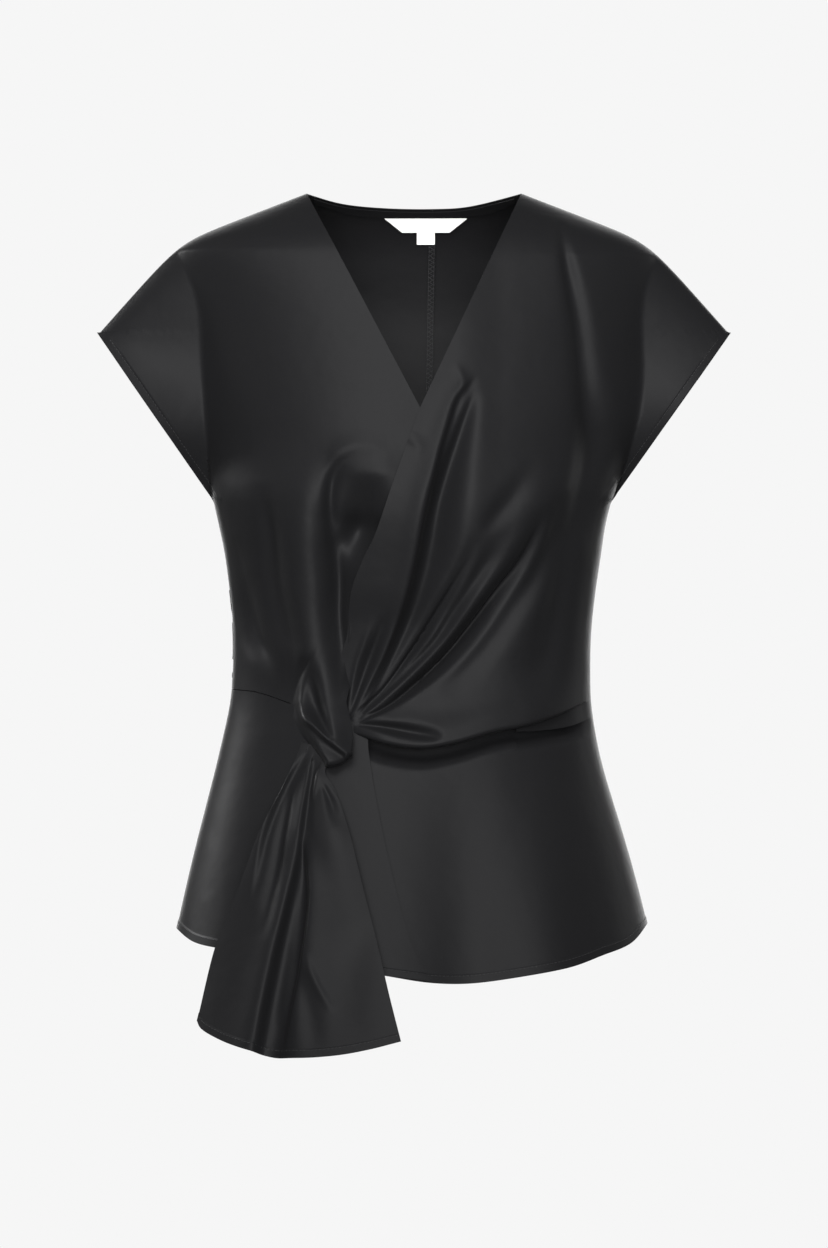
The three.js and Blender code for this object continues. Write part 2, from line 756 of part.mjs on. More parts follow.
function wrapReturnWall() {
  const across = 10;
  const place = patch(
    wrapReturnTop,
    wrapReturnFoot,
    straight(wrapReturnTop(0), wrapReturnFoot(0)),
    sideSeam(1, wrapReturnTop(1)[1], wrapReturnSide[1]),
  );
  const rows = gridOn(onFront, place, sideSteps(across, 1), even(3), () => -1, seamGap / 2);
  return clothWall(rows, onFront, { seam: (i) => i === across });
}

// Peplum: the right front piece lies over the left one.
const rightHemEnd = atSide(-1, -580);
const leftHemEnd = atSide(1, -576);
const freeEdge = edgeThrough([[-37, -432], [-35.7, -442], [-31.6, -468], [-18.5, -530.5], [-2, -590], [13.5, -620]]);
const peplumRightTop = joined([
  [0.45, lowered(rightWaistSeam, 2 * seamGap)],
  [0.55, edgeThrough([[-100.7, -396.1], [-88, -415], [-68, -430], [-50, -433], [-37, -432]])],
]);
const peplumRightHem = edgeThrough([
  rightHemEnd,
  [-180, -590],
  [-154.6, -595.5],
  [-90, -606],
  [-21, -616.6],
  [13.5, -620],
]);
const hiddenEdge = edgeThrough([[-66, -440], [-70, -470], [-62, -540], [-30, -615]]);
const peplumLeftHem = edgeThrough([
  [-30, -615],
  [13.5, -620.7],
  [75, -618],
  [123.4, -611],
  [152, -601],
  [177, -591],
  leftHemEnd,
]);
const peplumLeftTop = edgeThrough([
  [-66, -440],
  [-44, -438],
  [-20, -424],
  [10, -420],
  [60, -410],
  [100, -407],
  [130, -406],
  [wrapReturnSide[0], wrapReturnSide[1] - seamGap],
]);
// The lowest that a layer above covers the left peplum, at each place across.
const coverFoot = (x) =>
  x < 84
    ? leftLowerEdgeAt(Math.max(-55, x)) - drape.roll
    : mix(wrapReturnFoot(0)[1], wrapReturnSide[1], ((x - 84) / (wrapReturnSide[0] - 84)) ** 2);

function peplumRightWall() {
  const across = 18;
  const place = patch(
    peplumRightTop,
    peplumRightHem,
    sideSeam(-1, peplumRightTop(0)[1], rightHemEnd[1]),
    freeEdge,
  );
  const lift = (x, z, u) => {
    const overLeft = overlap * ease((u - 0.35) / 0.3);
    return skirtRelief(x, z) * awayFromSide(x, z, -1) + overLeft;
  };
  const rows = gridOn(onFront, place, sideSteps(across, -1), even(11), lift, seamGap / 2);
  return clothWall(rows, onFront, { seam: (i) => i === 0 });
}

function peplumLeftWall() {
  const across = 20;
  const place = patch(
    peplumLeftTop,
    peplumLeftHem,
    hiddenEdge,
    sideSeam(1, wrapReturnSide[1] - seamGap, leftHemEnd[1]),
  );
  const tucked = 6; // behind the left front's edge
  const lift = (x, z) => {
    const covered = 1 - ease((coverFoot(x) - z) / 14);
    return skirtRelief(x, z) * awayFromSide(x, z, 1) - tucked * covered;
  };
  const rows = gridOn(onFront, place, sideSteps(across, 1), even(12), lift, seamGap / 2);
  return clothWall(rows, onFront, { seam: (i) => i === across });
}

// The tail comes out under the column and hangs over the peplum and past its hem.
const tailTop = straight([-90, -428], [-64, -436]);
const tailHem = edgeThrough([
  [-167.7, -656],
  [-165, -662],
  [-149.6, -671.6],
  [-124, -680.6],
  [-97, -684.7],
  [-62.7, -683],
  [-34.8, -678],
  [-10.3, -671.6],
]);
const tailRightEdge = edgeThrough([[-90, -428], [-94, -440], [-118, -500], [-140, -560], [-153, -594], [-167.7, -656]]);
const tailLeftEdge = edgeThrough([
  [-64, -436],
  [-71, -452],
  [-62.7, -468],
  [-51, -502.7],
  [-40, -548.6],
  [-28.3, -596],
  [-19.3, -635.5],
  [-10.3, -671.6],
]);

function tailWall() {
  const place = patch(tailTop, tailHem, tailRightEdge, tailLeftEdge);
  const lift = (x, z) => mix(tail.liftAtKnot, tail.lift, ease((tail.from - z) / tail.over)) + tailRelief(x, z);
  const rows = gridOn(onFront, place, even(16), even(18), lift, 0);
  return clothWall(rows, onFront);
}

// Back: two halves joined down the middle, and one peplum piece.
const backNeck = edgeThrough([neckPointRight, [-59.5, 14.8], [-25, 11.5], [16.5, 10.8], [43, 12.3], neckPointLeft]);
const backNeckShare = 0.585; // of the neck's length that lies on the right of the seam
const backWaistShare = 0.535;
const backWaist = straight(atSide(-1, waistSideRight), atSide(1, waistSideLeft));
const shoulderShare = 0.62;
const backSeam = straight(backNeck(backNeckShare), backWaist(backWaistShare));

function backWall(side) {
  const rightHalf = side < 0;
  const aside = (side * seamGap) / 2;
  const neckPart = (t) => {
    const [x, z] = backNeck(rightHalf ? backNeckShare * t : mix(backNeckShare, 1, t));
    return [x + aside * (rightHalf ? t : 1 - t), z];
  };
  const middle = (t) => [backSeam(t)[0] + aside, backSeam(t)[1]];
  const outer = joined([
    [cuffShare, cuffEdge(side)],
    [1 - cuffShare, sideSeam(side, underarm.z, rightHalf ? waistSideRight : waistSideLeft)],
  ]);
  const top = rightHalf
    ? joined([[shoulderShare, backwards(shoulderSeam(-1))], [1 - shoulderShare, neckPart]])
    : joined([[1 - shoulderShare, neckPart], [shoulderShare, shoulderSeam(1)]]);
  const foot = (t) => (rightHalf ? straight(outer(1), middle(1))(t) : straight(middle(1), outer(1))(t));
  const place = rightHalf ? patch(top, foot, outer, middle) : patch(top, foot, middle, outer);
  const lift = (x, z) => backRelief(x, z) * awayFromSide(x, z, side);
  const nearNeck = [0, 0.3, 0.6].map((t) => (t * cuffShare) / 8);
  const down = nearNeck.concat(stepsThrough(cuffShare, 8, 9).slice(1));
  const fromSide = stepsThrough(shoulderShare, 11, 7);
  const steps = rightHalf ? fromSide : fromSide.map((t) => 1 - t).reverse();
  const rows = gridOn(onBack, place, steps, down, lift, seamGap / 2);
  const edge = rightHalf ? 0 : steps.length - 1;
  const onShoulder = (i) => (rightHalf ? steps[i] <= shoulderShare + 1e-6 : steps[i] >= 1 - shoulderShare - 1e-6);
  return clothWall(rows, onBack, {
    seam: (i, j) => (j === 0 && onShoulder(i)) || (i === edge && down[j] >= cuffShare - 1e-6),
  });
}

function peplumBackWall() {
  const across = 24;
  const top = straight(atSide(-1, waistSideRight - seamGap), atSide(1, waistSideLeft - seamGap));
  const hem = edgeThrough([rightHemEnd, [-150, -600], [-70, -618], [0, -622], [75, -616], [150, -598], leftHemEnd]);
  const place = patch(
    top,
    hem,
    sideSeam(-1, waistSideRight - seamGap, rightHemEnd[1]),
    sideSeam(1, waistSideLeft - seamGap, leftHemEnd[1]),
  );
  const uSteps = even(across).map((t) => mix((1 - Math.cos(t * Math.PI)) / 2, t, crowding));
  const rows = gridOn(onBack, place, uSteps, even(9), () => 0, seamGap / 2);
  return clothWall(rows, onBack, { seam: (i) => i === 0 || i === across });
}

// Inside the back neck: a narrow facing, with the label and its size tab hanging from it.
const insideBack = -(wall + 3 * seamGap);
const facingTop = (t) => {
  const [x, z] = backNeck(mix(0.1, 0.92, t));
  return [x, z - 0.6];
};
const facingFoot = edgeThrough([[-65, 11.2], [-50, 7.4], [-23.4, 5.7], [43, 6.6], [60, 8.2], [69, 11]]);

function trimWall(place, across, down) {
  const rows = gridOn(onBack, place, even(across), even(down), () => insideBack, 0);
  return clothWall(rows, onBack, { thick: trim });
}

function facingWall() {
  const place = patch(
    facingTop,
    facingFoot,
    straight(facingTop(0), facingFoot(0)),
    straight(facingTop(1), facingFoot(1)),
  );
  return trimWall(place, 26, 2);
}

function labelWall(halfTop, halfFoot, top, foot) {
  const corner = (half, z) => [label.x + half, z];
  const [topRight, topLeft] = [corner(-halfTop, top), corner(halfTop, top)];
  const [footRight, footLeft] = [corner(-halfFoot, foot), corner(halfFoot, foot)];
  const place = patch(
    straight(topRight, topLeft),
    straight(footRight, footLeft),
    straight(topRight, footRight),
    straight(topLeft, footLeft),
  );
  return trimWall(place, 10, 3);
}

const satin = { color: 0x2b2b2c, roughness: 0.42, metalness: 0 };
const ribbon = { color: 0xf4f4f2, roughness: 0.6, metalness: 0 };
const group = new THREE.Group();

function add(name, geometry, finish = satin) {
  const mesh = new THREE.Mesh(geometry, new THREE.MeshStandardMaterial(finish));
  mesh.name = name;
  group.add(mesh);
}

add("front_right", rightFrontWall());
add("front_left", leftFrontWall());
add("wrap_return", wrapReturnWall());
add("tie_tail", tailWall());
add("peplum_right", peplumRightWall());
add("peplum_left", peplumLeftWall());
add("peplum_back", peplumBackWall());
add("back_right", backWall(-1));
add("back_left", backWall(1));
add("neck_facing", facingWall());
add("neck_label", labelWall(label.halfTop, label.halfBottom, label.top, label.bottom), ribbon);
add(
  "size_tab",
  labelWall(label.halfTab, label.halfTab, label.bottom - seamGap, label.tabBottom),
  ribbon,
);

export default group;
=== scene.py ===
# A wrap top in black satin, filled out as when it is worn, dressed over its CAD solids.
# Garment shapes below are in millimetres and become metres when a mesh is made.
# The front faces -Y, +Z is up and +X is the wearer's left. Left and right are the wearer's.
import math

import bmesh
import bpy
import numpy as np
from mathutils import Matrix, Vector


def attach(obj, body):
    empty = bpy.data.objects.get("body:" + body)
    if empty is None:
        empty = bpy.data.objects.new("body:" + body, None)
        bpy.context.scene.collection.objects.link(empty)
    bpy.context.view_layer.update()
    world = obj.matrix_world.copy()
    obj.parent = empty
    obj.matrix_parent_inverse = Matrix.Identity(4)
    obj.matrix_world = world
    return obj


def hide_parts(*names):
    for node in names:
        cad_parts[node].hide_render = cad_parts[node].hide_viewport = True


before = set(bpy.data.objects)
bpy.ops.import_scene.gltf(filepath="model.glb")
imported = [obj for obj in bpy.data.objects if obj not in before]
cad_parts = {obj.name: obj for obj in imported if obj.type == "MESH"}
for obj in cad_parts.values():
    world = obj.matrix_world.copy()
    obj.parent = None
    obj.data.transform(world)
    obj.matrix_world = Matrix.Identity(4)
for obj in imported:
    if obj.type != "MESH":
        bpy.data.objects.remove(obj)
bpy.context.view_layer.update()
bpy.ops.object.select_all(action="DESELECT")
scene = bpy.context.scene
print("frame loaded:", len(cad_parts), "nodes")


# small helpers for numbers and curves
def mix(a, b, t):
    return a + (b - a) * t


def ease(t):
    t = np.clip(t, 0, 1)
    return t * t * (3 - 2 * t)


# 0 up to the start, 1 from a reach above it
def rise(value, start, reach):
    return ease((value - start) / reach)


# 0 down to the start, 1 from a reach below it
def fade(value, start, reach):
    return ease((start - value) / reach)


def bell(distance, width):
    return np.exp(-((distance / width) ** 2))


def evenly(count):
    return np.linspace(0, 1, count)


# steps that shorten towards 0
def closingIn(t):
    return 1 - np.cos(t * math.pi / 2)


# natural cubic through rows of (key, value)
def spline(rows):
    rows = sorted(rows)
    xs = np.array([r[0] for r in rows], float)
    ys = np.array([r[1] for r in rows], float)
    n = len(xs)
    h = np.diff(xs)
    system = np.eye(n)
    turn = np.zeros(n)
    for i in range(1, n - 1):
        system[i, i - 1 : i + 2] = h[i - 1], 2 * (h[i - 1] + h[i]), h[i]
        turn[i] = 6 * ((ys[i + 1] - ys[i]) / h[i] - (ys[i] - ys[i - 1]) / h[i - 1])
    bend = np.linalg.solve(system, turn)

    def at(x):
        x = np.clip(x, xs[0], xs[-1])
        i = np.clip(np.searchsorted(xs, x) - 1, 0, n - 2)
        a = (xs[i + 1] - x) / h[i]
        b = (x - xs[i]) / h[i]
        curved = ((a**3 - a) * bend[i] + (b**3 - b) * bend[i + 1]) * h[i] ** 2 / 6
        return a * ys[i] + b * ys[i + 1] + curved

    return at


# smooth line through points of any number of columns, close together
def throughPoints(points, perSpan=30):
    p = np.array(points, float)
    p = np.vstack([2 * p[0] - p[1], p, 2 * p[-1] - p[-2]])
    line = [p[1]]
    for k in range(1, len(p) - 2):
        a, b, c, d = p[k - 1 : k + 3]
        gaps = [max(1e-4, np.linalg.norm(f[:2] - e[:2])) ** 0.5 for e, f in ((a, b), (b, c), (c, d))]
        d0, d1, d2 = gaps
        slopeB = ((b - a) / d0 - (c - a) / (d0 + d1) + (c - b) / d1) * d1
        slopeC = ((c - b) / d1 - (d - b) / (d1 + d2) + (d - c) / d2) * d1
        for s in evenly(perSpan + 1)[1:]:
            share = 2 * s**3 - 3 * s**2 + 1
            bent = (s**3 - 2 * s**2 + s) * slopeB + (s**3 - s**2) * slopeC
            line.append(share * b + (1 - share) * c + bent)
    return np.array(line)


# a curve in the front view, by length along it from 0 to 1
def edgeThrough(points):
    line = throughPoints(points)
    length = np.concatenate([[0], np.cumsum(np.hypot(*np.diff(line, axis=0).T))])
    length /= length[-1]
    return lambda t: (np.interp(t, length, line[:, 0]), np.interp(t, length, line[:, 1]))


def straight(a, b):
    return lambda t: (mix(a[0], b[0], t), mix(a[1], b[1], t))


def backwards(curve):
    return lambda t: curve(1 - t)


# curves end to end, each with its share of the way
def joined(parts):
    def at(t):
        t = np.asarray(t, float)
        x, z = np.zeros_like(t), np.zeros_like(t)
        start = 0
        for share, curve in parts:
            here = (t >= start - 1e-9) & (t <= start + share + 1e-9)
            cx, cz = curve(np.clip((t - start) / share, 0, 1))
            x, z = np.where(here, cx, x), np.where(here, cz, z)
            start += share
        return x, z

    return at


# a surface patch between four curves of the front view, straight where none is given
def patch(top=None, foot=None, sideA=None, sideB=None):
    top = top or straight(sideA(0.0), sideB(0.0))
    foot = foot or straight(sideA(1.0), sideB(1.0))
    sideA = sideA or straight(top(0.0), foot(0.0))
    sideB = sideB or straight(top(1.0), foot(1.0))
    corners = [sideA(0.0), sideB(0.0), sideA(1.0), sideB(1.0)]

    def place(u, v):
        result = []
        for k in (0, 1):
            flat = mix(mix(corners[0][k], corners[1][k], u), mix(corners[2][k], corners[3][k], u), v)
            result.append(mix(top(u)[k], foot(u)[k], v) + mix(sideA(v)[k], sideB(v)[k], u) - flat)
        return result

    return place


# the worn body: its outline from the front and its depth at each height
body = {
    "neck": (88, 22), "sleeveTip": (260, -92), "underarm": -230, "roundness": 2.35,
    "shoulderBreak": 192, "breakSoftness": 9, "shoulderSlope": 0.385, "sleeveSlope": 1.13,
    "cuffOpening": 27, "cuffRound": 1.6, "tipFade": 40,
    "fallUnderSleeve": 0.62, "fallRise": 60,  # the body's sections end more gently there
    # height, depth in front of the side seams, depth behind them
    "depths": [
        (24, 16, 28), (10, 31, 47), (-5, 43, 59), (-30, 58, 72), (-60, 71, 84), (-100, 86, 93),
        (-150, 103, 97), (-200, 116, 95), (-235, 118, 91), (-285, 109, 84), (-335, 98, 78), (-388, 92, 76),
        (-425, 97, 84), (-480, 111, 101), (-540, 127, 119), (-625, 148, 142), (-690, 163, 160),
    ],
    # height, half width on the left, half width on the right
    "outline": [
        (-230, 162, 164.4), (-250, 157, 160), (-271, 153.8, 155.6), (-295, 150.2, 152.2),
        (-320, 147, 149.4), (-345, 145, 148.2), (-370, 144.6, 148.6), (-394, 145.2, 150.6),
        (-418, 148.4, 155.4), (-443, 153.6, 161.2), (-480, 164.4, 170.6), (-517, 175.6, 180),
        (-550, 184.6, 187.8), (-580, 192, 194.4), (-625, 202, 204), (-690, 216, 218),
    ],
    # height, half width of the trunk inside the sleeves on the left and right, the sleeve's fullness
    "sleeves": [
        (24, 210, 205, 18), (-15, 205, 199, 44), (-40, 195, 187, 45), (-65, 188, 178, 43),
        (-110, 187, 174, 34), (-150, 186, 172, 22), (-200, 173, 168, 8), (-230, 162, 164.4, 0),
    ],
}


def columnOf(table, k):
    return spline([(row[0], row[k]) for row in body[table]])


frontDepth, backDepth = columnOf("depths", 1), columnOf("depths", 2)
outlineLeft, outlineRight = columnOf("outline", 1), columnOf("outline", 2)
trunkLeft, trunkRight, sleeveFull = (columnOf("sleeves", k) for k in (1, 2, 3))


def shoulderZ(x):
    softness, slope = body["breakSoftness"], body["shoulderSlope"]
    past = softness * np.log1p(np.exp((x - body["shoulderBreak"]) / softness))
    return body["neck"][1] - slope * (x - body["neck"][0]) - (body["sleeveSlope"] - slope) * past


shoulderX = np.linspace(0, body["sleeveTip"][0], 2000)
shoulderHeights = shoulderZ(shoulderX)


def halfWidth(z, onLeft):
    z = np.asarray(z, float)
    tipX, tipZ = body["sleeveTip"]
    low = body["underarm"]
    below = np.where(onLeft, outlineLeft(z), outlineRight(z))
    armpit = np.where(onLeft, outlineLeft(low), outlineRight(low))
    cuff = mix(armpit, tipX, (z - low) / (tipZ - low))
    above = np.interp(-z, -shoulderHeights, shoulderX)
    return np.where(z <= low, below, np.where(z <= tipZ + 0.001, cuff, above))


def bodyDepth(x, z, depthAt):
    onLeft = x >= 0
    edge = halfWidth(z, onLeft)
    out = np.clip(np.abs(x) / edge, 0, 1)
    n = body["roundness"]
    trunkOnly = depthAt(z) * (1 - out**n) ** (1 / n)
    breadth = np.minimum(edge, np.where(onLeft, trunkLeft(z), trunkRight(z)))
    fall = mix(1 / n, body["fallUnderSleeve"], ease((z - body["underarm"]) / body["fallRise"]))
    trunk = depthAt(z) * (1 - np.clip(np.abs(x) / breadth, 0, 1) ** n) ** fall
    tipX, tipZ = body["sleeveTip"]
    past = np.clip(tipZ - z, 0, None)
    pastTip = tipX + past / body["sleeveSlope"] * np.exp(-past / body["tipFade"])
    sleeveEdge = np.where(past > 0, pastTip, edge)
    down = np.clip(past / (tipZ - body["underarm"]), 0, 1)
    cuff = body["cuffOpening"] * np.abs(np.sin(math.pi * down)) ** body["cuffRound"] * out**3
    sleeve = sleeveFull(z) * np.sqrt(1 - np.clip(np.abs(x) / sleeveEdge, 0, 1) ** 2) + cuff
    return np.where(z <= body["underarm"], trunkOnly, np.hypot(trunk, sleeve))


def onFront(x, z):
    return np.stack([x, -bodyDepth(x, z, frontDepth), z], axis=-1)


def onBack(x, z):
    return np.stack([x, bodyDepth(x, z, backDepth), z], axis=-1)


# folds: rows of x, z, height out of the cloth and width to the fold's foot
foldShape = {
    "trough": 1.5,  # hollows are deeper than the rolls between them are high
    "step": 1.3,
    "stepReach": 0.84,
    "farthest": 3.2,  # in widths, where a fold has died out
    "spanSteps": 6,
}


def relief(folds, x, z):
    total = np.zeros_like(x)
    for fold in folds.values():
        line = throughPoints(fold["path"], foldShape["spanSteps"])
        reach = foldShape["farthest"] * np.abs(line[:, 3]).max()
        near = (x > line[:, 0].min() - reach) & (x < line[:, 0].max() + reach)
        near &= (z > line[:, 1].min() - reach) & (z < line[:, 1].max() + reach)
        if not near.any():
            continue
        px, pz = x[near], z[near]
        best = np.full(px.shape, 1e9)
        signed, height, width = np.zeros_like(px), np.zeros_like(px), np.ones_like(px)
        for a, b in zip(line[:-1], line[1:]):
            ex, ez = b[:2] - a[:2]
            t = np.clip(((px - a[0]) * ex + (pz - a[1]) * ez) / (ex * ex + ez * ez + 1e-12), 0, 1)
            dx, dz = px - a[0] - t * ex, pz - a[1] - t * ez
            far = np.hypot(dx, dz)
            closer = far < best
            best = np.where(closer, far, best)
            signed = np.where(closer, np.sign(ez * dx - ex * dz) * far, signed)
            height = np.where(closer, mix(a[2], b[2], t), height)
            width = np.where(closer, np.maximum(0.5, mix(a[3], b[3], t)), width)
        lean = fold.get("lean", 0)  # a positive one is steeper on the line's right
        sided = width * (1 + lean * np.tanh(-signed / width))
        if fold.get("step"):
            crease = np.tanh(signed / fold["step"]) * bell(signed * foldShape["stepReach"], sided)
            total[near] -= foldShape["step"] * height * crease
        else:
            total[near] += np.where(height < 0, foldShape["trough"], 1) * height * bell(signed, sided)
    return total


leftFrontFolds = {
    "shadow beside the edge band": {"lean": -0.3, "path": [(-42, -404, -0.4, 1.5), (-15.2, -356, -3.4, 5),
        (-1.5, -327, -6, 8), (12, -285, -8, 11), (22, -232, -9, 11), (30, -203, -7.6, 9),
        (37, -180, -5.6, 7), (44, -158, -3, 5), (50, -142, 0, 4)]},
    "overlap at the first gather": {"step": 1.0, "path": [(-49, -404, 0.2, 1.6), (-27.5, -385, 1, 3),
        (-8.6, -361, 1.7, 4.5), (8.6, -336, 1.8, 6), (27.5, -305, 1.2, 7), (46, -273, 0, 6)]},
    "overlap at the deep gather": {"step": 1.2, "path": [(-47, -407, 0.2, 1.6), (-27.5, -400, 1, 3),
        (-2, -380.5, 2, 5), (25, -357, 2.6, 7), (46, -333, 2.6, 8), (66, -307, 2, 8), (88, -278, 0.9, 8),
        (103, -247, 0, 8)]},
    "pocket inside the edge band": {"path": [(-51, -403, -0.4, 1.4), (-45, -384, -2.2, 3),
        (-36, -359, -3.4, 4.6), (-26, -334, -1.6, 4.4), (-22, -322, 0, 4)]},
    "lip of the pocket": {"path": [(-52, -394, 0.4, 1.6), (-48, -370, 1, 2.4), (-40, -345, 1, 3),
        (-32, -326, 0, 3)]},
    "crumple at the band's top": {"path": [(31, -120, 0, 3), (37, -128, 1.3, 3), (40, -139, 1.5, 3.4),
        (36, -150, 0.6, 4), (33, -160, 0, 4)]},
    "nick in the neckline edge": {"path": [(-4, -178, -1.2, 2.2), (2, -184, -1.5, 2.4), (9, -190, 0, 3)]},
    "ridge over the deep gather": {"path": [(-40, -404, 0.4, 2), (-6.2, -375, 2.6, 5), (25, -343, 3.6, 6),
        (53, -308, 3.6, 8), (76, -278, 3, 9), (99, -241, 1.2, 9), (112, -210, 0, 9)]},
    "bust crease": {"path": [(56, -258, 0, 5), (64, -247, -1.6, 7), (78, -231, -2.2, 9), (91, -211, -1, 9),
        (100, -196, 0, 8)]},
    "edge band crease": {"step": 1.6, "path": [(-46, -402, 0.4, 3), (-36.5, -384, 1.2, 5),
        (-23.4, -357.5, 1.8, 8), (-11.9, -329, 2.4, 10), (-1.2, -295, 2.6, 12), (8.6, -248.5, 2.8, 12),
        (16, -215, 2.8, 11), (22, -189, 2.6, 10), (28.3, -168, 2.6, 9), (35, -147.6, 2.2, 8),
        (43, -137, 1.2, 6), (49, -130, 0, 5)]},
    "first gather": {"path": [(-46, -407, -0.6, 1.6), (-27.5, -386, -3, 3.4), (-8.6, -362, -5, 5),
        (8.6, -337, -5.4, 6), (27.5, -306, -4, 6.5), (44, -276, -1.4, 6), (52, -258, 0, 6)]},
    "second gather": {"path": [(-45, -409, -0.6, 1.6), (-27.5, -391.5, -2.4, 2.6), (-2, -366.5, -4, 3.6),
        (19, -344, -4.4, 4.6), (35.7, -318, -4, 6), (57, -284.5, -2.4, 7), (68, -266, 0, 8)]},
    "deep gather": {"lean": 0.25, "path": [(-44, -411, -0.8, 1.8), (-27.5, -401, -3, 3.4),
        (-2, -382, -6, 6), (25, -359, -8, 8), (46, -336, -8.4, 9), (66, -310, -7.6, 9.5),
        (86.5, -283, -5.4, 9), (101, -253, -2.4, 8), (107, -234, 0, 8)]},
    "soft gather": {"path": [(22, -389, 0, 9), (42, -369, -1.8, 10), (64, -342, -3, 11),
        (82, -316.5, -4, 11), (99, -295, -4.4, 10), (113.6, -266, -3.4, 9), (120, -239, -1.6, 8),
        (123, -222, 0, 8)]},
    "fold from the shoulder tuck": {"path": [(92, -398, 0, 14), (107.8, -358, -2.4, 13),
        (116, -326, -3.4, 12), (122.6, -295, -3.8, 12), (128.3, -266, -4.4, 12), (140, -228, -5.4, 13),
        (148, -189, -6, 14), (147, -165, -5.6, 13), (141, -131, -4.6, 10), (135, -82, -3.4, 8),
        (125, -34, -2.4, 5), (119, -2, 0, 3)]},
    "pocket above the lower roll": {"path": [(-45, -413, -0.8, 2), (-23.4, -416, -4.6, 4),
        (-2.9, -419.5, -5.6, 5), (12, -422.5, -3.6, 4.5), (23, -425.5, 0, 3.5)]},
}

rightFrontFolds = {
    "column into the knot": {"path": [(-68, -440, 19, 30), (-73, -406, 19, 27), (-79, -377, 16, 23),
        (-84, -344, 12.5, 23), (-90, -303, 9.5, 24), (-94, -262, 6, 24), (-97, -220, 2, 26),
        (-98, -185, 0, 30)]},
    "left side of the column": {"path": [(-100, -392, -1.4, 7), (-98, -353, -3, 9), (-104, -330, -3.8, 10),
        (-112, -298, -4, 10), (-117, -260, -3.6, 9), (-120, -238, -2.2, 8), (-124, -216, 0, 8)]},
    "crease between the column and the hollow": {"lean": 0.2, "path": [(-57, -385, -1, 4),
        (-59, -353, -4, 6), (-63, -325.5, -5, 7), (-65, -298, -5, 8), (-69, -275, -4.6, 9),
        (-72.6, -240, -4, 9), (-70, -212, -2.6, 9), (-62, -192, 0, 10)]},
    "long side pull": {"path": [(-151, -258, 0, 8), (-146, -280, -1.4, 9), (-130, -344, -1.8, 9),
        (-118, -367, 0, 8)]},
    "band around the knot": {"step": 1.3, "path": [(-97, -394, 0, 5), (-89.4, -410, 1.4, 6),
        (-78, -419, 2.6, 8), (-68.5, -429, 3, 9), (-57.8, -438.5, 2.6, 8), (-50, -444, 2, 8)]},
    "side pull": {"path": [(-112, -380, 0, 6), (-122, -358, -2, 7), (-133, -338, -2.2, 8),
        (-141, -290, 0, 10)]},
    "hollow beside the column": {"path": [(-60, -352, 0, 8), (-61, -312, -3.4, 10), (-56, -278, -8, 14),
        (-47, -256, -14, 19), (-43, -236, -9, 19), (-41, -208, 0, 18)]},
    "rim of the hollow": {"step": 2.2, "path": [(-64, -330, 0.4, 10), (-69, -285, 1.6, 12),
        (-73, -240, 2.6, 13), (-69, -210, 2.8, 13), (-58, -196, 2.2, 14), (-40, -190, 1.2, 14),
        (-22, -190, 0, 14)]},
    "brow over the hollow": {"path": [(-70, -196, 0, 14), (-52, -200, 3, 17), (-30, -204, 3.2, 17),
        (-8, -206, 0, 14)]},
    "floor of the hollow": {"path": [(-66, -270, -1, 8), (-52, -264, -3, 13), (-36, -258, -2, 12)]},
    "bump under the hollow": {"path": [(-50, -300, 0.6, 8), (-43, -291, 2.4, 8), (-36, -284, 1, 7)]},
    "hollow in the column": {"path": [(-64, -428, -1.5, 3), (-72, -412, -6, 5), (-79, -394, -7.5, 7),
        (-82, -374, -4.4, 7.5), (-84, -356, 0, 7)]},
}

tailFolds = {
    "outer crease": {"step": 1.6, "path": [(-127, -560, 0, 9), (-121, -531, 1.2, 9), (-116, -505, 2, 8),
        (-108, -477, 2.2, 7), (-99, -456, 1.8, 6), (-88, -438, 0.4, 4)]},
    "edge of the right flap of cloth": {"step": 1.5, "path": [(-124, -686, 3.6, 14),
        (-115.5, -639, 3.6, 13), (-106, -593, 3.4, 11), (-98, -558, 3, 9), (-90, -520, 2.4, 7),
        (-86, -480, 2, 5), (-82, -446, 1, 4)]},
    "edge of the left flap of cloth": {"step": 1.6, "path": [(-88, -500, 0, 4), (-86, -525, 1.6, 8),
        (-82.7, -554, 3, 13), (-86.5, -587, 3.2, 15), (-91.4, -616, 2.4, 14), (-101, -663, 0.8, 12),
        (-104, -684, 0, 10)]},
    "left flap rises": {"path": [(-30, -668, 1.5, 40), (-48, -590, 3, 28), (-62, -520, 4, 17),
        (-72, -460, 2, 8)]},
    "pleat between the flaps": {"path": [(-112, -684, -5, 12), (-103, -630, -4.4, 10), (-93, -575, -3.4, 7),
        (-87, -535, -1.6, 4), (-85, -505, 0, 3)]},
    "ridge in the pleat": {"path": [(-90, -545, 0, 3), (-95, -580, 1.8, 4.5), (-104, -640, 1.8, 5),
        (-108, -660, 0, 5)]},
    "trough in the right flap": {"path": [(-98, -465, 0, 3), (-101.3, -487, -1.6, 4), (-108.7, -537, -2, 5),
        (-115, -571, -1.2, 6), (-118, -590, 0, 6)]},
    "short bright fold": {"path": [(-74, -448, 0.6, 2), (-77, -458, 2, 2.6), (-80, -471, 1.4, 2.6),
        (-81, -479, 0, 2.4)]},
    "dent beside it": {"path": [(-71, -466, -0.8, 2), (-66, -478, -1.6, 3.5), (-60, -500, 0, 5)]},
    "low ridge near the hem": {"path": [(-84, -600, 0, 3), (-80, -617, 1.2, 3), (-71, -636, 1.3, 3.4),
        (-62, -649, 0, 4)]},
    "hollow near the hem": {"path": [(-92, -606, 0, 4), (-86, -630, -1.6, 7), (-80, -662, -1.2, 9),
        (-78, -684, 0, 9)]},
    "soft bend of the left flap": {"path": [(-28, -570, 0, 12), (-44, -600, -1.8, 16),
        (-52, -650, -1.4, 18), (-54, -684, 0, 20)]},
}

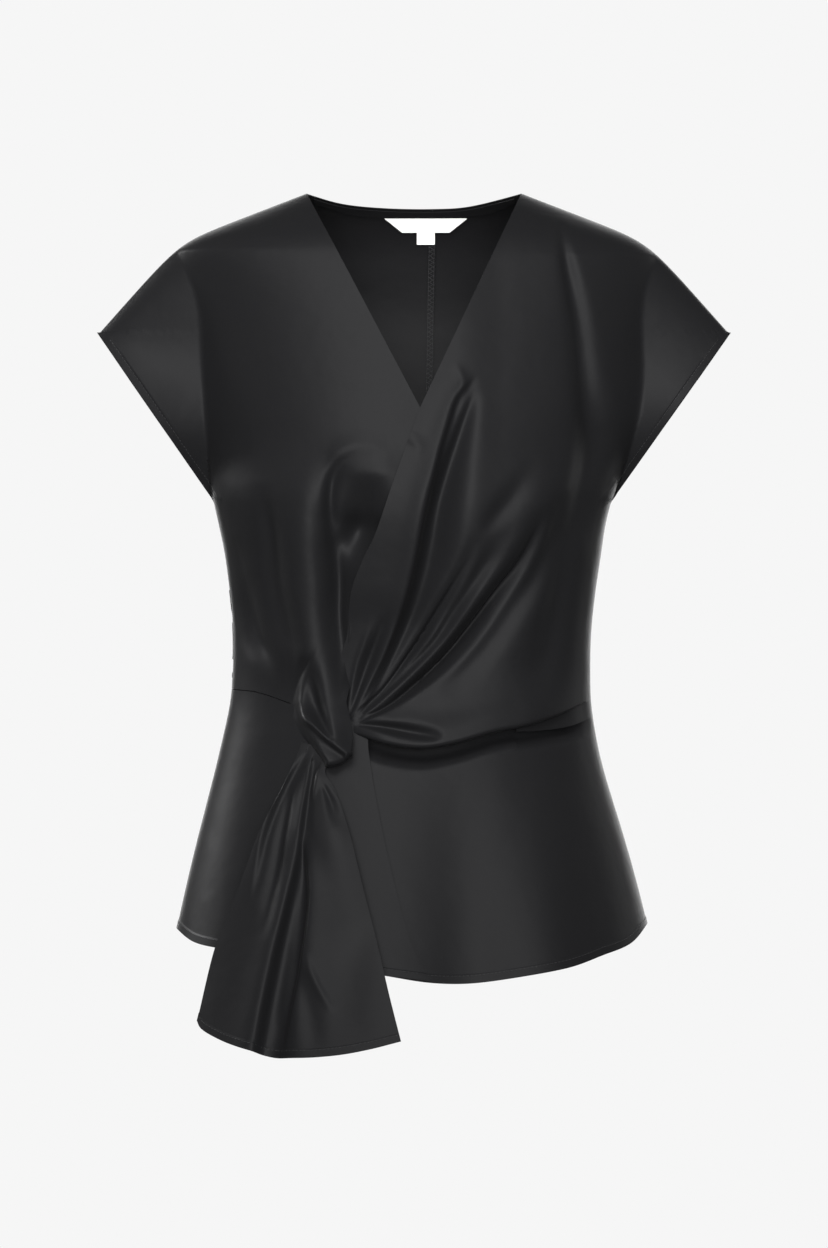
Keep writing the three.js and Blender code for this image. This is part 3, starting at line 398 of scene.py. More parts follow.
skirtFolds = {
    "right side flute": {"path": [(-112, -600, -5, 34), (-112, -500, -3, 26), (-112, -420, 0, 20)]},
    "left front flute": {"path": [(46, -625, -7, 38), (40, -520, -3.5, 32), (34, -430, 0, 24)]},
    "left side flute": {"path": [(118, -615, 4, 30), (112, -520, 2, 26), (108, -430, 0, 20)]},
}

backFolds = {
    "right blade fold": {"path": [(-92, -386, -3, 20), (-100, -300, -3.5, 20), (-112, -190, 0, 22)]},
    "left blade fold": {"path": [(84, -390, -3.5, 19), (97, -310, -3, 20), (114, -200, 0, 22)]},
    "right sleeve fold": {"path": [(-178, -80, 0, 10), (-174, -140, -3, 10), (-164, -200, -3, 9),
        (-157, -240, 0, 8)]},
    "left sleeve fold": {"path": [(181, -76, 0, 10), (176, -136, -3, 10), (164, -205, -2.6, 9),
        (155, -248, 0, 8)]},
    "right waist pull": {"path": [(-146, -352, 0, 7), (-128, -340, -1.6, 8), (-96, -334, -2, 9),
        (-60, -340, 0, 9)]},
    "left waist pull": {"path": [(141, -346, 0, 7), (118, -330, -1.8, 9), (86, -326, -1.6, 9),
        (58, -330, 0, 8)]},
    "small of the back": {"path": [(-72, -368, 0, 8), (-48, -362, -1.7, 9), (-22, -359, -1.4, 8),
        (-5, -361, 0, 7)]},
    "left of the back seam": {"path": [(20, -360, 0, 7), (36, -362, -1.4, 8), (58, -370, 0, 8)]},
    "right shoulder blade": {"path": [(-70, -60, 0, 26), (-84, -110, 2.2, 28), (-88, -160, 0, 26)]},
    "left shoulder blade": {"path": [(74, -66, 0, 26), (82, -118, 2, 28), (86, -166, 0, 26)]},
}

backSkirtFolds = {
    "right flute": {"path": [(-118, -620, 5, 30), (-110, -510, 2.4, 24), (-100, -410, 0, 18)]},
    "right hollow": {"path": [(-62, -625, -5, 26), (-56, -510, -2.4, 20), (-50, -420, 0, 16)]},
    "middle flute": {"path": [(4, -625, 5, 32), (4, -520, 2.6, 26), (4, -420, 0, 18)]},
    "left hollow": {"path": [(68, -625, -5, 26), (60, -510, -2.2, 20), (54, -420, 0, 16)]},
    "left flute": {"path": [(122, -620, 4.4, 28), (112, -510, 2.2, 24), (102, -410, 0, 18)]},
}


# panels
mm = 0.001
cloth = {
    "thickness": 0.7,
    "seamOverlap": 0.12,  # panels pass each other by this at the side and shoulder seams
    "seamSnap": 0.08,  # points this near the outline are put on it
    "creaseAngle": 55,
}


def unit(vectors):
    return vectors / np.maximum(1e-9, np.linalg.norm(vectors, axis=-1, keepdims=True))


def facing(surface):
    return -1 if surface is onFront else 1


# a panel's grid of points, with its folds, and the smooth body's outward direction at each
def panelPoints(place, surface, us, vs, lift):
    u, v = np.meshgrid(us, vs)
    x, z = place(u, v)
    edge = halfWidth(z, x >= 0)
    x = np.where(np.abs(x) > edge - cloth["seamSnap"], np.sign(x) * edge, x)
    base = surface(x, z)
    overlap = cloth["seamOverlap"]
    atSeam = np.abs(base[..., 1]) < 2 * overlap
    base[..., 1] = np.where(atSeam, -facing(surface) * overlap, base[..., 1])
    along = np.gradient(base, axis=1)
    down = np.gradient(base, axis=0)
    out = unit(np.cross(along, down) * facing(surface))
    return base + out * lift(x, z, u, v)[..., None], out


def level(height):
    return lambda x, z, u, v: 0 * x + height


# more rows after the last one, which curl under it
def rollUnder(points, out, size, angle, steps=8):
    edge, flat = points[-1], unit(out[-1] * (1, 1, 0))
    size, angle = np.asarray(size), np.asarray(angle)
    rows = []
    for k in range(1, steps + 1):
        turned = angle * k / steps
        row = edge + flat * (size * (np.cos(turned) - 1))[..., None]
        row[:, 2] -= size * np.sin(turned)
        rows.append(row)
    return np.concatenate([points, np.array(rows)])


# a grid sheet laid through the points, then given its thickness
def clothMesh(name, points, facesBack=False, keep=None):
    high, wide = points.shape[0] - 1, points.shape[1] - 1
    bpy.ops.mesh.primitive_grid_add(x_subdivisions=wide, y_subdivisions=high, size=1)
    piece = bpy.context.object
    piece.name = name
    mesh = piece.data
    flat = np.empty(len(mesh.vertices) * 3)
    mesh.vertices.foreach_get("co", flat)
    flat = flat.reshape(-1, 3)
    column = np.rint((flat[:, 0] + 0.5) * wide).astype(int)
    row = np.rint((0.5 - flat[:, 1]) * high).astype(int)
    mesh.vertices.foreach_set("co", (points[row, column] * mm).ravel())
    if keep is not None:
        editable = bmesh.new()
        editable.from_mesh(mesh)
        spare = []
        for face in editable.faces:
            corners = [v.index for v in face.verts]
            if not keep(min(row[i] for i in corners), min(column[i] for i in corners)):
                spare.append(face)
        bmesh.ops.delete(editable, geom=spare, context="FACES")
        editable.to_mesh(mesh)
        editable.free()
    if facesBack:
        mesh.flip_normals()
    mesh.update()
    solid = piece.modifiers.new("thickness", "SOLIDIFY")
    solid.thickness = cloth["thickness"] * mm
    solid.offset = -1
    bpy.ops.object.modifier_apply(modifier=solid.name)
    bpy.ops.object.shade_smooth_by_angle(angle=math.radians(cloth["creaseAngle"]))
    piece.select_set(False)
    return piece


def dress(piece, nodes, material):
    piece.data.materials.clear()
    piece.data.materials.append(material)
    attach(piece, "root")
    if nodes:
        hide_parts(*nodes)


# hems and stitching
hem = {
    "width": 7.0,
    "turn": 0.45,
    "edge": 0.9,
    "stitchFrom": 5.6,
    "evenRowsTo": 10,
    "lastRows": [9, 8, 7.5, 7, 6.6, 6.2, 5.6, 4, 2.4, 1.2, 0.5, 0],  # distances from the edge
}
cuff = {
    "square": 0.816,  # from a distance across to one square on to the cuff's edge
    "tipFade": 12,
    "stitchEnds": (6, 5),
    "stitchSteps": 120,
}
stitch = {"length": 2.5, "gap": 0.8, "thick": 0.42, "sunk": 0.2, "endShare": 0.012}


# the turned hem is a second layer, with a soft step where it ends
def hemLift(fromEdge):
    return hem["turn"] * fade(fromEdge, hem["width"], hem["edge"])


# steps down a panel, close together where its hem starts
def hemRows(count, length):
    even = np.linspace(0, 1 - hem["evenRowsTo"] / length, count)
    return np.concatenate([even, 1 - np.array(hem["lastRows"]) / length])


def cuffHem(x, z):
    tipZ, low = body["sleeveTip"][1], body["underarm"]
    fromEdge = (halfWidth(z, x >= 0) - np.abs(x)) * cuff["square"]
    return np.where(z > low, hemLift(fromEdge) * fade(z, tipZ, cuff["tipFade"]), 0)


def rowAt(grid, steps, place):
    k = float(np.interp(place, steps, np.arange(len(steps))))
    i = min(int(k), len(steps) - 2)
    return mix(grid[i], grid[i + 1], k - i)


# a row of stitches along a line on the cloth, as one mesh; slants turn them one after another
def stitchRow(name, path, out, spacing=None, slants=(0,), length=None):
    length = length or stitch["length"]
    spacing = spacing or stitch["length"] + stitch["gap"]
    bpy.ops.mesh.primitive_uv_sphere_add(segments=6, ring_count=4, radius=1)
    piece = bpy.context.object
    piece.name = name
    one = np.array([v.co[:] for v in piece.data.vertices])
    one = one * (length / 2, stitch["thick"] / 2, stitch["thick"] / 2)
    faces = [tuple(f.vertices) for f in piece.data.polygons]
    run = np.concatenate([[0], np.cumsum(np.linalg.norm(np.diff(path, axis=0), axis=1))])

    def at(rows, place):
        return np.array([np.interp(place, run, rows[:, c]) for c in range(3)])

    points, corners = [], []
    for k, place in enumerate(np.arange(spacing / 2, run[-1], spacing)):
        middle, up = at(path, place), at(out, place)
        ahead = at(path, place + 0.5) - middle
        if np.linalg.norm(ahead) < 1e-6 or np.linalg.norm(up) < 1e-6:
            continue
        up, ahead = unit(up), unit(ahead)
        turned = math.radians(slants[k % len(slants)])
        along = math.cos(turned) * ahead + math.sin(turned) * np.cross(up, ahead)
        axes = np.array([along, np.cross(up, along), up])
        corners += [tuple(c + len(points) for c in face) for face in faces]
        points += list((middle + up * stitch["thick"] * stitch["sunk"] + one @ axes) * mm)
    mesh = bpy.data.meshes.new(name)
    mesh.from_pydata(points, [], corners)
    mesh.update()
    piece.data = mesh
    bpy.ops.object.shade_smooth()
    piece.select_set(False)
    dress(piece, [], thread)


def hemStitches(name, grid, vs, length):
    points, out = grid
    at = 1 - hem["stitchFrom"] / length
    row, up = rowAt(points, vs, at), rowAt(out, vs, at)
    end = int(len(row) * stitch["endShare"]) + 1
    stitchRow(name, row[end : len(row) - end], up[end : len(row) - end])


def cuffStitches(side, surface, name):
    top, foot = cuff["stitchEnds"]
    z = np.linspace(body["sleeveTip"][1] - top, body["underarm"] + foot, cuff["stitchSteps"])
    x = side * (halfWidth(z, side > 0) - hem["stitchFrom"] / cuff["square"])
    path = surface(x, z)
    deeper = surface(x - side * 2.0, z)
    up = np.cross(np.gradient(path, axis=0), deeper - path)
    up = unit(up * np.sign(up[:, 1:2]) * facing(surface))
    stitchRow(name, path + up * (hem["turn"] + 0.05), up)


# materials
def linear(hexColour):
    parts = [int(hexColour[i : i + 2], 16) / 255 for i in (1, 3, 5)]
    return [c / 12.92 if c <= 0.04045 else ((c + 0.055) / 1.055) ** 2.4 for c in parts] + [1]


def addNode(tree, kind, settings=None, links=None):
    node = tree.nodes.new(kind)
    for key, value in (settings or {}).items():
        if key in node.inputs:
            node.inputs[key].default_value = value
        else:
            setattr(node, key, value)
    for key, source in (links or {}).items():
        tree.links.new(source, node.inputs[key])
    return node


def newMaterial(name):
    material = bpy.data.materials.new(name)
    material.use_nodes = True
    material.node_tree.nodes.clear()
    return material, material.node_tree


def principled(tree, settings, links=None):
    shader = addNode(tree, "ShaderNodeBsdfPrincipled", settings, links)
    addNode(tree, "ShaderNodeOutputMaterial", {}, {"Surface": shader.outputs["BSDF"]})


def bump(tree, pattern, strength, height, under=None):
    links = {"Height": pattern.outputs["Fac"]}
    if under:
        links["Normal"] = under.outputs["Normal"]
    return addNode(tree, "ShaderNodeBump", {"Strength": strength, "Distance": height * mm}, links)


# woven with long floats: a soft broad gloss over black, which the cloth's unevenness breaks up
satinLook = {
    "colour": "#111112",
    "paler": "#171718",
    "roughness": 0.46,
    "specular": 0.05,
    "sheen": 0.01,
    # size in mm, roughness of the pattern, then strength and height in mm of the bump
    "uneven": (34, 0.5, 0.35, 2),
    "ripple": (11, 0.5, 0.3, 0.5),
    # threads are 0.15 mm apart, drawn coarser so that they show
    "grain": (1.1, 0.6, 0.25, 0.06),
}


def polyesterSatin():
    look = satinLook
    material, tree = newMaterial("polyesterSatin")
    coords = addNode(tree, "ShaderNodeTexCoord")
    surface = None
    for layer in ("uneven", "ripple", "grain"):
        size, roughness, strength, height = look[layer]
        pattern = addNode(
            tree,
            "ShaderNodeTexNoise",
            {"Scale": 1 / (size * mm), "Detail": 2.0, "Roughness": roughness},
            {"Vector": coords.outputs["Object"]},
        )
        surface = bump(tree, pattern, strength, height, surface)
    colour = addNode(tree, "ShaderNodeMix", {"data_type": "RGBA"}, {"Factor": pattern.outputs["Fac"]})
    colour.inputs[6].default_value = linear(look["colour"])
    colour.inputs[7].default_value = linear(look["paler"])
    settings = {
        "Roughness": look["roughness"],
        "IOR": 1.5,
        "Specular IOR Level": look["specular"],
        "Sheen Weight": look["sheen"],
        "Sheen Roughness": 0.4,
    }
    principled(tree, settings, {"Base Color": colour.outputs[2], "Normal": surface.outputs["Normal"]})
    return material


# white woven ribbon for labels, matt, with close ribs across it
ribbonLook = {"colour": "#f2f2f0", "roughness": 0.6, "sheen": 0.2, "ribs": 0.9, "bump": (0.3, 0.1)}


def wovenRibbon():
    look = ribbonLook
    material, tree = newMaterial("wovenRibbon")
    coords = addNode(tree, "ShaderNodeTexCoord")
    scale = 1 / (look["ribs"] * mm * math.tau)
    ribs = addNode(
        tree,
        "ShaderNodeTexWave",
        {"wave_type": "BANDS", "bands_direction": "Z", "Scale": scale, "Distortion": 0.3},
        {"Vector": coords.outputs["Object"]},
    )
    matt = {"Roughness": look["roughness"], "Sheen Weight": look["sheen"]}
    surface = bump(tree, ribs, *look["bump"])
    colour = linear(look["colour"])
    principled(tree, {"Base Color": colour, **matt}, {"Normal": surface.outputs["Normal"]})
    return material


# black spun polyester, matt
def sewingThread():
    material, tree = newMaterial("sewingThread")
    matt = {"Roughness": 0.75, "Specular IOR Level": 0.2, "Sheen Weight": 0.1}
    principled(tree, {"Base Color": linear("#1f1f20"), **matt})
    return material


satin = polyesterSatin()
ribbon = wovenRibbon()
thread = sewingThread()

# edges and seams in the front view
overlapLift = 2.8  # how far a front lies above the layer below it
neckRight, neckLeft = (-88, 22), (88, 22)
vPoint = (5, -155)
waistSideRight, waistSideLeft = -384, -392
rightHemZ, leftHemZ = -580, -576
seamGap = 0.3
cuffShare = 0.42
seamFade = {"side": 13, "waist": 18}  # folds die out this near a seam


def atSide(side, z):
    return float(side * halfWidth(z, side > 0)), z


def sideSeam(side, start, end):
    def at(t):
        z = mix(start, end, t)
        return side * halfWidth(z, side > 0), z

    return at


def cuffEdge(side):
    tip = body["sleeveTip"]
    return straight((side * tip[0], tip[1]), atSide(side, body["underarm"]))


# the cuff's edge, then the side seam
def outerEdge(side, waistZ):
    return joined([(cuffShare, cuffEdge(side)), (1 - cuffShare, sideSeam(side, body["underarm"], waistZ))])


def shoulderSeam(side):
    def at(t):
        x = mix(body["neck"][0], body["sleeveTip"][0], t)
        return side * x, np.maximum(body["sleeveTip"][1], shoulderZ(x))

    return at


def lowered(curve, by):
    return lambda t: (curve(t)[0], curve(t)[1] - by)


# steps across a panel, closer together at its side seam
def sideSteps(count, side, evenness=0.06):
    t = evenly(count + 1)
    if side > 0:
        return 1 - mix(closingIn(1 - t), 1 - t, evenness)
    return mix(closingIn(t), t, evenness)


# such steps up to a corner, then even ones
def fromSeam(corner, before, after):
    return np.concatenate([corner * sideSteps(before, -1, 0.12), np.linspace(corner, 1, after + 1)[1:]])


# 0 on the side seam or cuff, 1 well inside it
def awayFromSide(x, z):
    return ease((halfWidth(z, x >= 0) - np.abs(x)) / seamFade["side"] + 0.07)


# 0 on the waist seam of the back, 1 well above or below it
def awayFromWaist(x, z):
    waistZ = np.interp(x, [-150, 150], [waistSideRight, waistSideLeft])
    return ease(np.abs(z - waistZ) / seamFade["waist"])


gatherTop, gatherFoot, crossing = (-57, -408), (-55.5, -418), (5, -155.5)
leftFrontEdge = edgeThrough([gatherTop, (-60, -390), (-60, -372), (-59, -355), (-54.5, -340), (-50.5, -303),
    (-39, -273), (-32.4, -260), (-16, -213), crossing])
frontEdgeX, frontEdgeZ = leftFrontEdge(np.linspace(0.12, 1, 300))


def leftFrontEdgeAt(z):
    return np.interp(z, frontEdgeZ, frontEdgeX)


# right front: its lower end is a column of cloth that wraps the knot
columnRight, columnLeft = (-100.7, -395.5), (-53.5, -396)
columnFoot = [(-74, -444), (-66, -446.5), (-58, -444), (-49, -437.5)]
rightWaistSeam = edgeThrough([atSide(-1, waistSideRight), (-128, -386.5), columnRight])
belowV = edgeThrough([vPoint, (20, -188), (24, -225), (9, -262), (-7, -292), (-22, -318), (-36, -342),
    (-47, -365), (-52, -384), columnLeft])
rightFrontEdge = joined([(0.44, straight(neckRight, vPoint)), (0.56, belowV)])
rightFront = {
    "across": 84, "acrossColumn": 46, "down": 150, "downColumn": 36,
    "columnShare": 0.6, "border": 0.32, "waistFade": 0.12, "columnOut": 1.6, "roll": (5.0, 2.6),
    # how far it goes in under the left front, to clear the gathers, then each start and its reach
    "inward": (5, 6, 13), "under": (2, 10), "nearKnot": (-300, 30), "furtherUnder": (24, 14),
    "below": (-158, 20), "above": (-392, 20),
}


def frontRight():
    s = rightFront
    share, across, down = s["columnShare"], s["across"], s["down"]
    overColumn = mix(share, 1, evenly(s["acrossColumn"] + 1)[1:])
    us = np.concatenate([share * sideSteps(across, -1), overColumn])
    columnTop = straight(columnRight, columnLeft)
    waist = joined([(share, rightWaistSeam), (1 - share, columnTop)])
    upper = patch(backwards(shoulderSeam(-1)), waist, outerEdge(-1, waistSideRight), rightFrontEdge)
    column = patch(
        columnTop,
        edgeThrough(columnFoot),
        edgeThrough([columnRight, (-98, -407), (-90.5, -423), (-82, -434), columnFoot[0]]),
        edgeThrough([columnLeft, (-50.3, -410), (-48.6, -424), columnFoot[-1]]),
    )

    def acrossColumn(u):
        return np.clip((u - share) / (1 - share), 0, 1)

    def place(u, v):
        above = upper(u, np.minimum(v, 1))
        below = column(acrossColumn(u), np.clip(v - 1, 0, 1))
        return [np.where(v <= 1, a, b) for a, b in zip(above, below)]

    def lift(x, z, u, v):
        border = ease(acrossColumn(u) / s["border"] + 0.05)
        away = np.where(v < 1, np.maximum(border, ease((1 - v) / s["waistFade"])), border)
        under = x - leftFrontEdgeAt(z)
        near, atKnot, far = s["inward"]
        inward = (near + atKnot * fade(z, *s["nearKnot"])) * rise(under, *s["under"])
        inward = inward + far * rise(under, *s["furtherUnder"])
        inward = inward * fade(z, *s["below"]) * rise(z, *s["above"])
        shaped = relief(rightFrontFolds, x, z) * awayFromSide(x, z) * away
        return shaped + s["columnOut"] * ease((v - 1) * 3) + cuffHem(x, z) * (v < 1) - inward

    downColumn = 1 + evenly(s["downColumn"] + 1)[1:]
    vs = np.concatenate([fromSeam(cuffShare, down // 2, down // 2), downColumn])
    points, out = panelPoints(place, onFront, us, vs, lift)
    points = rollUnder(points, out, *s["roll"])
    return clothMesh("frontRight", points, keep=lambda row, column: row < down or column >= across)


# left front, with the drape over its lower edge
leftLowerEdge = edgeThrough([gatherFoot, (-43, -420.5), (-24, -427), (5.3, -431), (34, -426.5),
    (63.6, -417.5), (86.5, -412.5), (106, -406.7), (125, -400), atSide(1, waistSideLeft)])
lowerEdgeX, lowerEdgeZ = leftLowerEdge(evenly(400))
drape = {"height": 11, "reach": 26, "roll": 4, "to": (145, 60), "from": (-62, 40)}
# down has the rays to the shoulder seam, the cuff and the side seam
leftFront = {
    "across": 150, "down": (95, 38, 57), "shoulderShare": 0.5, "cuffShare": 7 / 36, "edgeShare": 0.52,
    "overRight": (75, 40), "aboveWaist": (-335, 36), "shoulderFade": 8, "rollSize": 2.0,
    "rollAngle": (0.9, 2.9),
}


def leftLowerEdgeAt(x):
    return np.interp(x, lowerEdgeX, lowerEdgeZ)


def drapeShare(x):
    return fade(x, *drape["to"]) * rise(x, *drape["from"])


def frontLeft():
    s = leftFront
    shoulder, edge = s["shoulderShare"], s["edgeShare"]
    sideStart = shoulder + s["cuffShare"]
    side = sideSeam(1, body["underarm"], waistSideLeft)
    outer = joined([(shoulder, shoulderSeam(1)), (s["cuffShare"], cuffEdge(1)), (1 - sideStart, side)])
    top = joined([(edge, leftFrontEdge), (1 - edge, straight(crossing, neckLeft))])
    place = patch(top, leftLowerEdge, sideB=outer)

    def lift(x, z, u, v):
        overRight = overlapLift * fade(x, *s["overRight"]) * rise(z, *s["aboveWaist"])
        hang = drape["height"] * bell(leftLowerEdgeAt(x) - z + 2, drape["reach"]) * drapeShare(x)
        inside = awayFromSide(x, z) * ease((shoulderZ(np.abs(x)) - z) / s["shoulderFade"] + 0.1)
        return (relief(leftFrontFolds, x, z) + hang) * inside + overRight + cuffHem(x, z)

    corners = (0, shoulder, sideStart, 1)
    parts = [np.linspace(a, b, n + 1)[1:] for a, b, n in zip(corners, corners[1:], s["down"])]
    vs = np.concatenate([[0], *parts])
    points, out = panelPoints(place, onFront, sideSteps(s["across"], 1, 0.12), vs, lift)
    share = drapeShare(points[-1, :, 0])
    size, angle = mix(s["rollSize"], drape["roll"], share), mix(*s["rollAngle"], share)
    points = rollUnder(points, out, size, angle)
    return clothMesh("frontLeft", points)


# the layer that shows below the left front at its side
strip = {
    "x": 84, "footZ": -418.5, "sideZ": -407, "inside": 1.5, "inward": 1.2, "sideFade": 8,
    "foot": [(104, -417.5), (120, -415.7), (132.4, -413)],
}


def wrapReturn():
    def top(t):
        x = mix(strip["x"], atSide(1, waistSideLeft)[0], t)
        return x, leftLowerEdgeAt(x) - mix(2, drape["roll"], drapeShare(x)) + strip["inside"]

    def lift(x, z, u, v):
        return -strip["inward"] * ease((halfWidth(z, True) - x) / strip["sideFade"])

    start, end = (strip["x"], strip["footZ"]), atSide(1, strip["sideZ"])
    foot = edgeThrough([start, *strip["foot"], end])
    side = sideSeam(1, float(top(1.0)[1]), float(foot(1.0)[1]))
    place = patch(top, foot, sideB=side)
    points, _ = panelPoints(place, onFront, sideSteps(50, 1), evenly(14), lift)
    return clothMesh("wrapReturn", points)


# how low the left front and the layer under it reach
def coverFoot(x):
    sideX, sideZ = atSide(1, strip["sideZ"])
    across = np.clip(x - strip["x"], 0, None) / (sideX - strip["x"])
    low = mix(strip["footZ"], sideZ, across**2)
    return np.where(x < strip["x"], leftLowerEdgeAt(np.maximum(-55, x)) - drape["roll"], low)


# peplum and tail
frontCorner, hiddenTop, hiddenFoot = (-37, -424), (-66, -418), (-30, -615)
lowPoint = (13.5, -620)
rightHemEnd, leftHemEnd = atSide(-1, rightHemZ), atSide(1, leftHemZ)
freeEdge = edgeThrough([frontCorner, (-37, -432), (-35.7, -442), (-31.6, -468), (-18.5, -530.5), (-2, -590),
    lowPoint])
overKnot = edgeThrough([(-100.7, -396.1), (-86, -397), (-68, -401), (-52, -409), frontCorner])
peplumRightTop = joined([(0.45, lowered(rightWaistSeam, 2 * seamGap)), (0.55, overKnot)])
peplumRightHem = edgeThrough([rightHemEnd, (-180, -590), (-154.6, -595.5), (-90, -606), (-21, -616.6),
    lowPoint])
peplumLeftHem = edgeThrough([hiddenFoot, (13.5, -620.7), (75, -618), (123.4, -611), (152, -601),
    (177, -591), leftHemEnd])


def hangingPanel(name, place, surface, us, s, lift):
    def hemmed(x, z, u, v):
        return lift(x, z, u, v) + hemLift((1 - v) * s["length"])

    vs = hemRows(s["rows"], s["length"])
    grid = panelPoints(place, surface, us, vs, hemmed)
    hemStitches(name + "Stitches", grid, vs, s["length"])
    return clothMesh(name, grid[0], facesBack=surface is onBack)


def peplumRight():
    s = {"length": 195, "rows": 80, "columns": 90, "overLeft": (0.35, 0.3)}
    side = sideSeam(-1, waistSideRight - 2 * seamGap, rightHemEnd[1])
    place = patch(peplumRightTop, peplumRightHem, side, freeEdge)

    def lift(x, z, u, v):
        return relief(skirtFolds, x, z) * awayFromSide(x, z) + overlapLift * rise(u, *s["overLeft"])

    return hangingPanel("peplumRight", place, onFront, sideSteps(s["columns"], -1), s, lift)


def peplumLeft():
    s = {"length": 190, "rows": 80, "columns": 110, "tuck": 12, "tuckReach": 16, "sideReach": 20}
    topZ = strip["sideZ"] - seamGap
    inner = [hiddenTop, (-46, -412), (-20, -408), (10, -406), (60, -403), (100, -404), (130, -406)]
    top = edgeThrough([*inner, atSide(1, topZ)])
    hidden = edgeThrough([hiddenTop, (-70, -470), (-62, -540), hiddenFoot])
    place = patch(top, peplumLeftHem, hidden, sideSeam(1, topZ, leftHemEnd[1]))

    def lift(x, z, u, v):
        covered = 1 - ease((coverFoot(x) - z) / s["tuckReach"])
        tucked = s["tuck"] * covered * ease((halfWidth(z, True) - x) / s["sideReach"])
        return relief(skirtFolds, x, z) * awayFromSide(x, z) - tucked

    return hangingPanel("peplumLeft", place, onFront, sideSteps(s["columns"], 1), s, lift)


def peplumBack():
    s = {"length": 215, "rows": 70, "columns": 120, "evenness": 0.06}
    foot = [rightHemEnd, (-150, -600), (-70, -618), (0, -622), (75, -616), (150, -598), leftHemEnd]
    right, left = waistSideRight - seamGap, waistSideLeft - seamGap
    sides = sideSeam(-1, right, rightHemEnd[1]), sideSeam(1, left, leftHemEnd[1])
    place = patch(None, edgeThrough(foot), *sides)

    def lift(x, z, u, v):
        return relief(backSkirtFolds, x, z) * awayFromSide(x, z) * awayFromWaist(x, z)

    t = evenly(s["columns"] + 1)
    us = mix((1 - np.cos(t * math.pi)) / 2, t, s["evenness"])
    return hangingPanel("peplumBack", place, onBack, us, s, lift)


tail = {
    "length": 242, "rows": 120, "columns": 130, "out": (4.9, 13), "outFrom": (-446, 70),
    "rightEdge": [(-90, -428), (-94, -440), (-118, -500), (-140, -560), (-153, -594), (-167.7, -656)],
    "leftEdge": [
        (-64, -436), (-71, -452), (-62.7, -468), (-51, -502.7), (-40, -548.6), (-28.3, -596),
        (-19.3, -635.5), (-10.3, -671.6),
    ],
    "hem": [(-165, -662), (-149.6, -671.6), (-124, -680.6), (-97, -684.7), (-62.7, -683), (-34.8, -678)],
}


def tieTail():
    right, left = tail["rightEdge"], tail["leftEdge"]
    foot = edgeThrough([right[-1], *tail["hem"], left[-1]])
    place = patch(None, foot, edgeThrough(right), edgeThrough(left))

    def lift(x, z, u, v):
        return mix(*tail["out"], fade(z, *tail["outFrom"])) + relief(tailFolds, x, z)

    us = evenly(tail["columns"] + 1)
    return hangingPanel("tieTail", place, onFront, us, tail, lift)


# back
back = {
    "neckShare": 0.585, "waistShare": 0.535, "shoulderShare": 0.62, "across": (60, 36), "down": 60,
    "seam": 0.02,  # from each half to the seam's line
}
backNeck = edgeThrough([neckRight, (-59.5, 14.8), (-25, 11.5), (16.5, 10.8), (43, 12.3), neckLeft])
backWaist = straight(atSide(-1, waistSideRight), atSide(1, waistSideLeft))
backSeam = straight(backNeck(back["neckShare"]), backWaist(back["waistShare"]))


def backHalf(side):
    right = side < 0
    aside = side * back["seam"]
    neckShare, shoulder = back["neckShare"], back["shoulderShare"]

    def neckPart(t):
        x, z = backNeck(neckShare * t if right else mix(neckShare, 1, t))
        return x + aside * (t if right else 1 - t), z

    def middle(t):
        x, z = backSeam(t)
        return x + aside, z

    outer = outerEdge(side, waistSideRight if right else waistSideLeft)
    us = fromSeam(shoulder, *back["across"])
    if right:
        top = joined([(shoulder, backwards(shoulderSeam(-1))), (1 - shoulder, neckPart)])
        place = patch(top, None, outer, middle)
    else:
        top = joined([(1 - shoulder, neckPart), (shoulder, shoulderSeam(1))])
        place = patch(top, None, middle, outer)
        us = 1 - us[::-1]

    def lift(x, z, u, v):
        return relief(backFolds, x, z) * awayFromSide(x, z) * awayFromWaist(x, z) + cuffHem(x, z)

    vs = fromSeam(cuffShare, back["down"], back["down"])
    points, _ = panelPoints(place, onBack, us, vs, lift)
    return clothMesh("backRight" if right else "backLeft", points, facesBack=True)


# neck facing and labels, inside the back
insideBack = -2.0


def trimPiece(name, place, across, down):
    us, vs = evenly(across), evenly(down)
    points, _ = panelPoints(place, onBack, us, vs, level(insideBack))
    return clothMesh(name, points, facesBack=True)


def neckFacing():
    def top(t):
        x, z = backNeck(mix(0.03, 0.97, t))
        return x, z - 2 * seamGap

    foot = edgeThrough([(-82, 16), (-65, 11.2), (-50, 7.4), (-23.4, 5.7), (43, 6.6), (60, 8.2), (69, 11),
        (83, 16.5)])
    return trimPiece("neckFacing", patch(top, foot), 120, 9)


# the centre back seam's allowances, overlocked together and pressed to one side
allowance = {
    "half": 3.2, "ends": (0.05, 0.995), "inward": -1.7, "columns": 7, "rows": 160,
    "loops": {"spacing": 1.9, "slants": (58, 122), "length": 6.2},
    "needle": {"spacing": 2.4, "length": 2.2},
}


def backAllowance():
    half, middle = allowance["half"], allowance["columns"] // 2

    def edgeOf(off):
        def at(t):
            x, z = backSeam(mix(*allowance["ends"], t))
            return x + off, z

        return at

    place = patch(None, None, edgeOf(-half), edgeOf(half))
    us, vs = evenly(allowance["columns"]), evenly(allowance["rows"])
    points, out = panelPoints(place, onBack, us, vs, level(allowance["inward"]))
    piece = clothMesh("backSeamAllowance", points, facesBack=True)
    dress(piece, [], satin)
    up = -out[:, middle]
    onTop = points + (up * cloth["thickness"])[:, None]
    stitchRow("overlockLoops", onTop[:, middle], up, **allowance["loops"])
    stitchRow("overlockNeedleRight", onTop[:, 1], up, **allowance["needle"])
    stitchRow("overlockNeedleLeft", onTop[:, 5], up, **allowance["needle"])


label = {"x": 9.8, "top": 4.6, "foot": -6.6, "halfTop": 34, "halfFoot": 19.6}
sizeTab = {"half": 7.4, "foot": -16.6}


